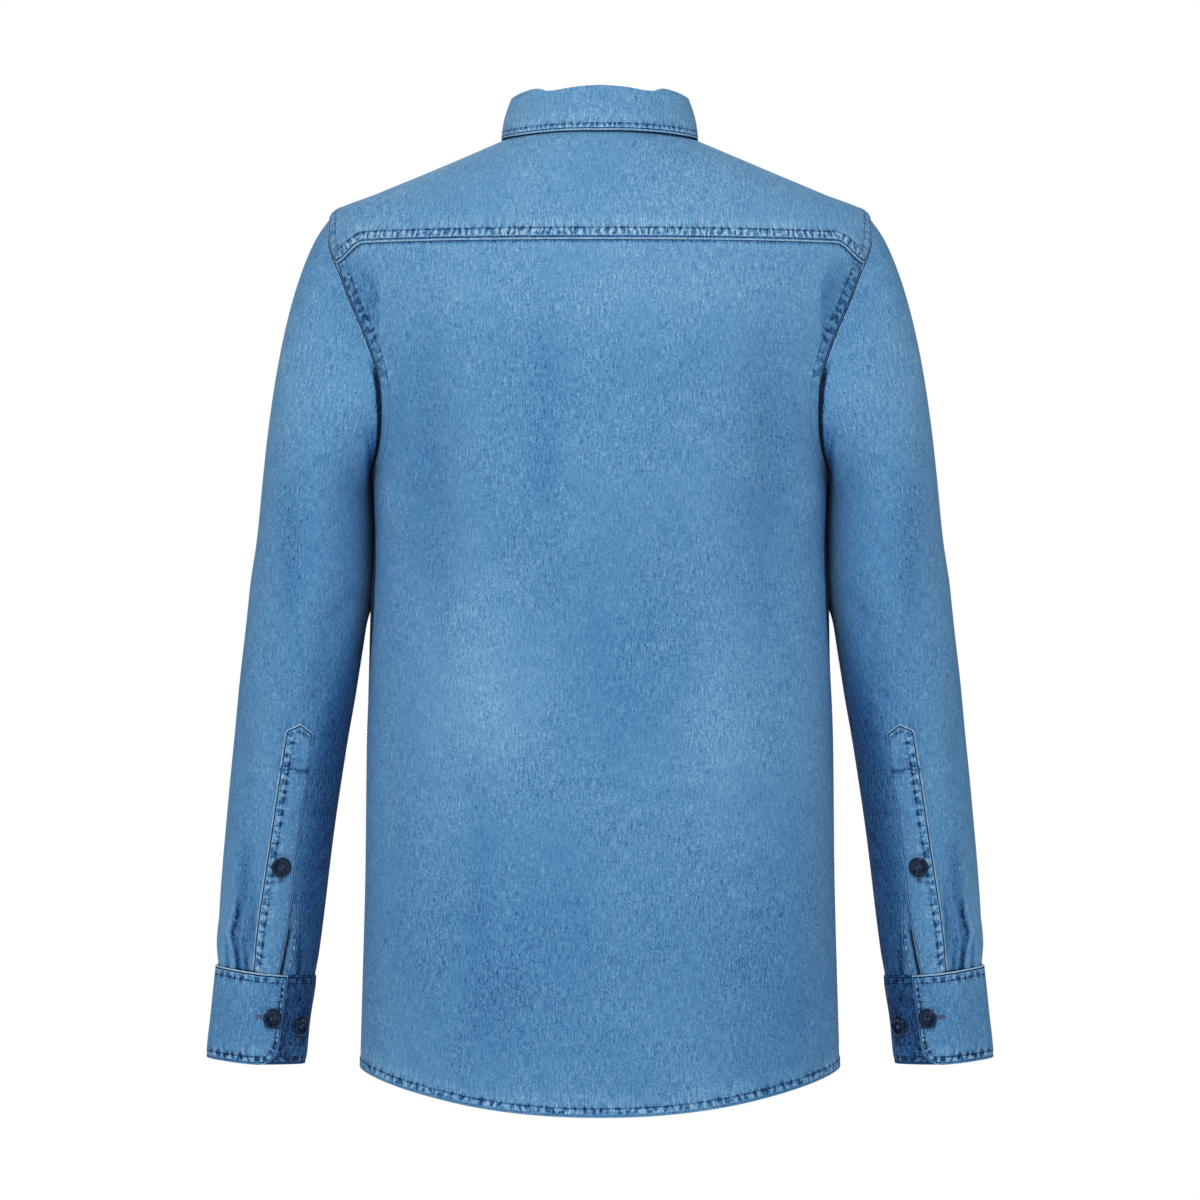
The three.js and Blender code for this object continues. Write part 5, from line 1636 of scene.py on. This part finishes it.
def make_buttons():
    template = button_mesh(BUTTON_RADIUS, BUTTON_HEIGHT)
    down = np.array([0, 0, -1.0])
    middle = np.array(-RIGHT_ANGLE)
    for i in range(6):
        height = np.array(FRONT_BUTTON_TOP - FRONT_BUTTON_PITCH * i, float)
        place = snapped("front_left_cloth", ring_point(middle, front_level(height)))
        put_button(f"front_button_{i + 1}", template, place, 0.3 * i)
        buttonhole("front_left_cloth", place[0] + (0, 0, -2.5), down)
    place = snapped("collar_stand_cloth", stand_point(middle, np.array(0.5)))
    put_button("collar_button", template, place, 0.4)
    for side in SIDES:
        is_right = side == "right"
        placket = f"sleeve_placket_{side}_cloth"
        cuff = f"cuff_{side}_cloth"
        height, share = STRIP_BUTTON
        place = snapped(placket, section_point(sleeve_angle(share, height), np.array(height)))
        put_button(f"placket_button_{side}", template, place, 0.5, is_right)
        buttonhole(placket, place[0] + (0, 0, -4), down)
        for number, (height, share) in enumerate(CUFF_BUTTONS, 1):
            at = (sleeve_angle(share, height), np.array(height))
            place = snapped(cuff, section_point(*at) + sleeve_normal(*at) * 3)
            put_button(f"cuff_button_{number}_{side}", template, place, 0.3 * number, is_right)
            if number == 1:
                along = np.array([0.87, 0.48, 0.09])
                buttonhole(cuff, place[0] + place[1] * 2.5 + along * 6.5, along, CUFF_BUTTONHOLE)


# Stage, light and camera
FLOOR_RADIUS = 3.0
FLOOR_HEIGHT = -1.2
CAMERA_PLACE = (0, 4.0, -0.352)
CAMERA_LENS = 156.9
# Lamps: name, place, aim, size and power
LAMPS = (
    ("key", (0.4, 3.4, 2.0), (0, 0, -0.25), 2.0, 82),
    ("fill left", (3.0, 1.6, 0.2), (0, 0, -0.4), 1.8, 8),
    ("fill right", (-3.0, 1.6, 0.2), (0, 0, -0.4), 1.8, 9),
    ("front", (0.4, -3.4, 1.6), (0, 0, -0.35), 2.2, 52),
)


def make_stage():
    """A round pale floor below the shirt."""
    bm = bmesh.new()
    bmesh.ops.create_circle(bm, cap_ends=True, segments=96, radius=FLOOR_RADIUS)
    bmesh.ops.translate(bm, vec=(0, 0, FLOOR_HEIGHT), verts=bm.verts)
    mesh = bpy.data.meshes.new("studio floor")
    bm.to_mesh(mesh)
    bm.free()
    paper, w, shader = new_material("floor paper")
    mottle = w.noise(w.split(w.node("ShaderNodeTexCoord").outputs["Object"]), ())
    w.fill(shader, {
        "Base Color": w.mixed(mottle, (0.88, 0.88, 0.88, 1), (0.92, 0.92, 0.92, 1)), "Roughness": 0.9,
        "Specular IOR Level": 0.1,
    })
    mesh.materials.append(paper)
    add_object("studio_floor", mesh)


def make_lights():
    world = bpy.data.worlds.new("studio")
    world.use_nodes = True
    w = Wiring(world.node_tree)
    background = world.node_tree.nodes["Background"]
    background.inputs["Color"].default_value = (1, 1, 1, 1)
    seen = w.node("ShaderNodeLightPath").outputs["Is Camera Ray"]
    w.put(background.inputs["Strength"], w.ramp(seen, 0.0, 1.0, 0.32, 1.0))
    bpy.context.scene.world = world
    for name, place, aim, width, power in LAMPS:
        lamp = bpy.data.lights.new(name, "AREA")
        lamp.shape = "DISK"
        lamp.size = width
        lamp.energy = power
        holder = add_object(name, lamp)
        holder.location = place
        holder.rotation_euler = (Vector(aim) - Vector(place)).to_track_quat("-Z", "Y").to_euler()


def make_camera():
    camera = bpy.data.cameras.new("photograph")
    camera.sensor_width = 36
    camera.lens = CAMERA_LENS
    camera.clip_start = 0.1
    camera.clip_end = 50
    holder = add_object("photograph", camera)
    holder.location = CAMERA_PLACE
    holder.rotation_euler = (RIGHT_ANGLE, 0, math.pi)
    bpy.context.scene.camera = holder
    bpy.context.scene.view_settings.view_transform = "Standard"


# The add-on
def colour(name, description, default):
    return bpy.props.FloatVectorProperty(name=name, description=description, subtype="COLOR", default=default)


def size(name, description, default):
    return bpy.props.FloatProperty(name=name, description=description, default=default, unit="LENGTH")


class DenimShirtSettings(bpy.types.PropertyGroup):
    shadow: colour("Shadow", "Colour at the bottom of the deepest folds", (0.006, 0.018, 0.04))
    indigo: colour("Indigo", "Colour in the deepest puckers", (0.014, 0.06, 0.21))
    deep: colour("Deep blue", "Colour of little-washed yarn", (0.048, 0.18, 0.41))
    wash: colour("Wash", "Main colour of the washed denim", (0.112, 0.305, 0.555))
    pale: colour("Pale blue", "Colour of well-washed yarn", (0.215, 0.455, 0.71))
    worn: colour("Worn edge", "Colour of the most worn edges", (0.55, 0.72, 0.85))
    thread: colour("Thread", "Colour of the sewing thread", (0.035, 0.08, 0.22))
    button: colour("Button", "Colour of the buttons", (0.002, 0.007, 0.024))
    stitch_pitch: size("Stitch pitch", "From one stitch to the next", 0.0029)
    stitch_length: size("Stitch length", "Length of the thread that shows", 0.0023)
    stitch_thickness: size("Thread thickness", "Thickness of the sewing thread", 0.0005)


class DENIM_OT_collar(bpy.types.Operator):
    """Make the collar's stand and leaf"""
    bl_idname = "denim_shirt.collar"
    bl_label = "Make collar"

    def execute(self, context):
        make_stand()
        make_leaf()
        return {"FINISHED"}


class DENIM_OT_body(bpy.types.Operator):
    """Make the back, the yoke and both fronts"""
    bl_idname = "denim_shirt.body"
    bl_label = "Make body"

    def execute(self, context):
        make_yoke()
        make_back()
        for side in SIDES:
            make_front(side)
        return {"FINISHED"}


class DENIM_OT_sleeves(bpy.types.Operator):
    """Make the sleeves with their plackets, bindings and cuffs"""
    bl_idname = "denim_shirt.sleeves"
    bl_label = "Make sleeves"

    def execute(self, context):
        for side in SIDES:
            make_sleeve(side)
            make_strip("placket", side, SLIT_STRIP, 110, 21, STRIP_POINT, LAYER_GAP + SOLID_LAYER)
            make_strip("binding", side, SLIT_BINDING, 40, 9, 0, LAYER_GAP + SOLID_LAYER)
            make_cuff(side)
        return {"FINISHED"}


class DENIM_OT_buttons(bpy.types.Operator):
    """Make the buttons on the front, collar, plackets and cuffs"""
    bl_idname = "denim_shirt.buttons"
    bl_label = "Make buttons"

    def execute(self, context):
        make_buttons()
        return {"FINISHED"}


class DENIM_OT_stitches(bpy.types.Operator):
    """Sew the rows of stitches and the buttonholes"""
    bl_idname = "denim_shirt.stitches"
    bl_label = "Sew stitches"

    def execute(self, context):
        settings = context.scene.denim_shirt
        stitched("seam_stitches", STITCH_ROWS, "seam thread", 0.08, {
            "Pitch": settings.stitch_pitch, "Length": settings.stitch_length,
            "Thickness": settings.stitch_thickness, "Turn": 0.0, "Seed": 3,
        })
        stitched("buttonhole_stitches", BUTTONHOLES, "buttonhole thread", 0.12, {
            "Pitch": 0.00055, "Length": 0.0019, "Thickness": 0.0006, "Turn": RIGHT_ANGLE, "Seed": 5,
        })
        return {"FINISHED"}


class DENIM_OT_stage(bpy.types.Operator):
    """Make the floor, the lights and the camera"""
    bl_idname = "denim_shirt.stage"
    bl_label = "Make stage"

    def execute(self, context):
        make_camera()
        make_lights()
        make_stage()
        return {"FINISHED"}


class DENIM_PT_panel(bpy.types.Panel):
    """The shirt's pieces in the sidebar"""
    bl_idname = "DENIM_PT_panel"
    bl_label = "Denim shirt"
    bl_space_type = "VIEW_3D"
    bl_region_type = "UI"
    bl_category = "Denim shirt"

    def draw(self, context):
        settings = context.scene.denim_shirt
        for name in DenimShirtSettings.__annotations__:
            self.layout.prop(settings, name)
        for operator in OPERATORS:
            self.layout.operator(operator.bl_idname)


OPERATORS = (
    DENIM_OT_stage, DENIM_OT_collar, DENIM_OT_body, DENIM_OT_sleeves, DENIM_OT_buttons, DENIM_OT_stitches,
)
CLASSES = (DenimShirtSettings, *OPERATORS, DENIM_PT_panel)


def register():
    for item in CLASSES:
        bpy.utils.register_class(item)
    bpy.types.Scene.denim_shirt = bpy.props.PointerProperty(type=DenimShirtSettings)


def unregister():
    del bpy.types.Scene.denim_shirt
    for item in reversed(CLASSES):
        bpy.utils.unregister_class(item)


def main():
    register()
    bpy.ops.denim_shirt.stage()
    bpy.ops.denim_shirt.collar()
    bpy.ops.denim_shirt.body()
    bpy.ops.denim_shirt.sleeves()
    bpy.ops.denim_shirt.buttons()
    bpy.ops.denim_shirt.stitches()


if __name__ == "__main__":
    main()
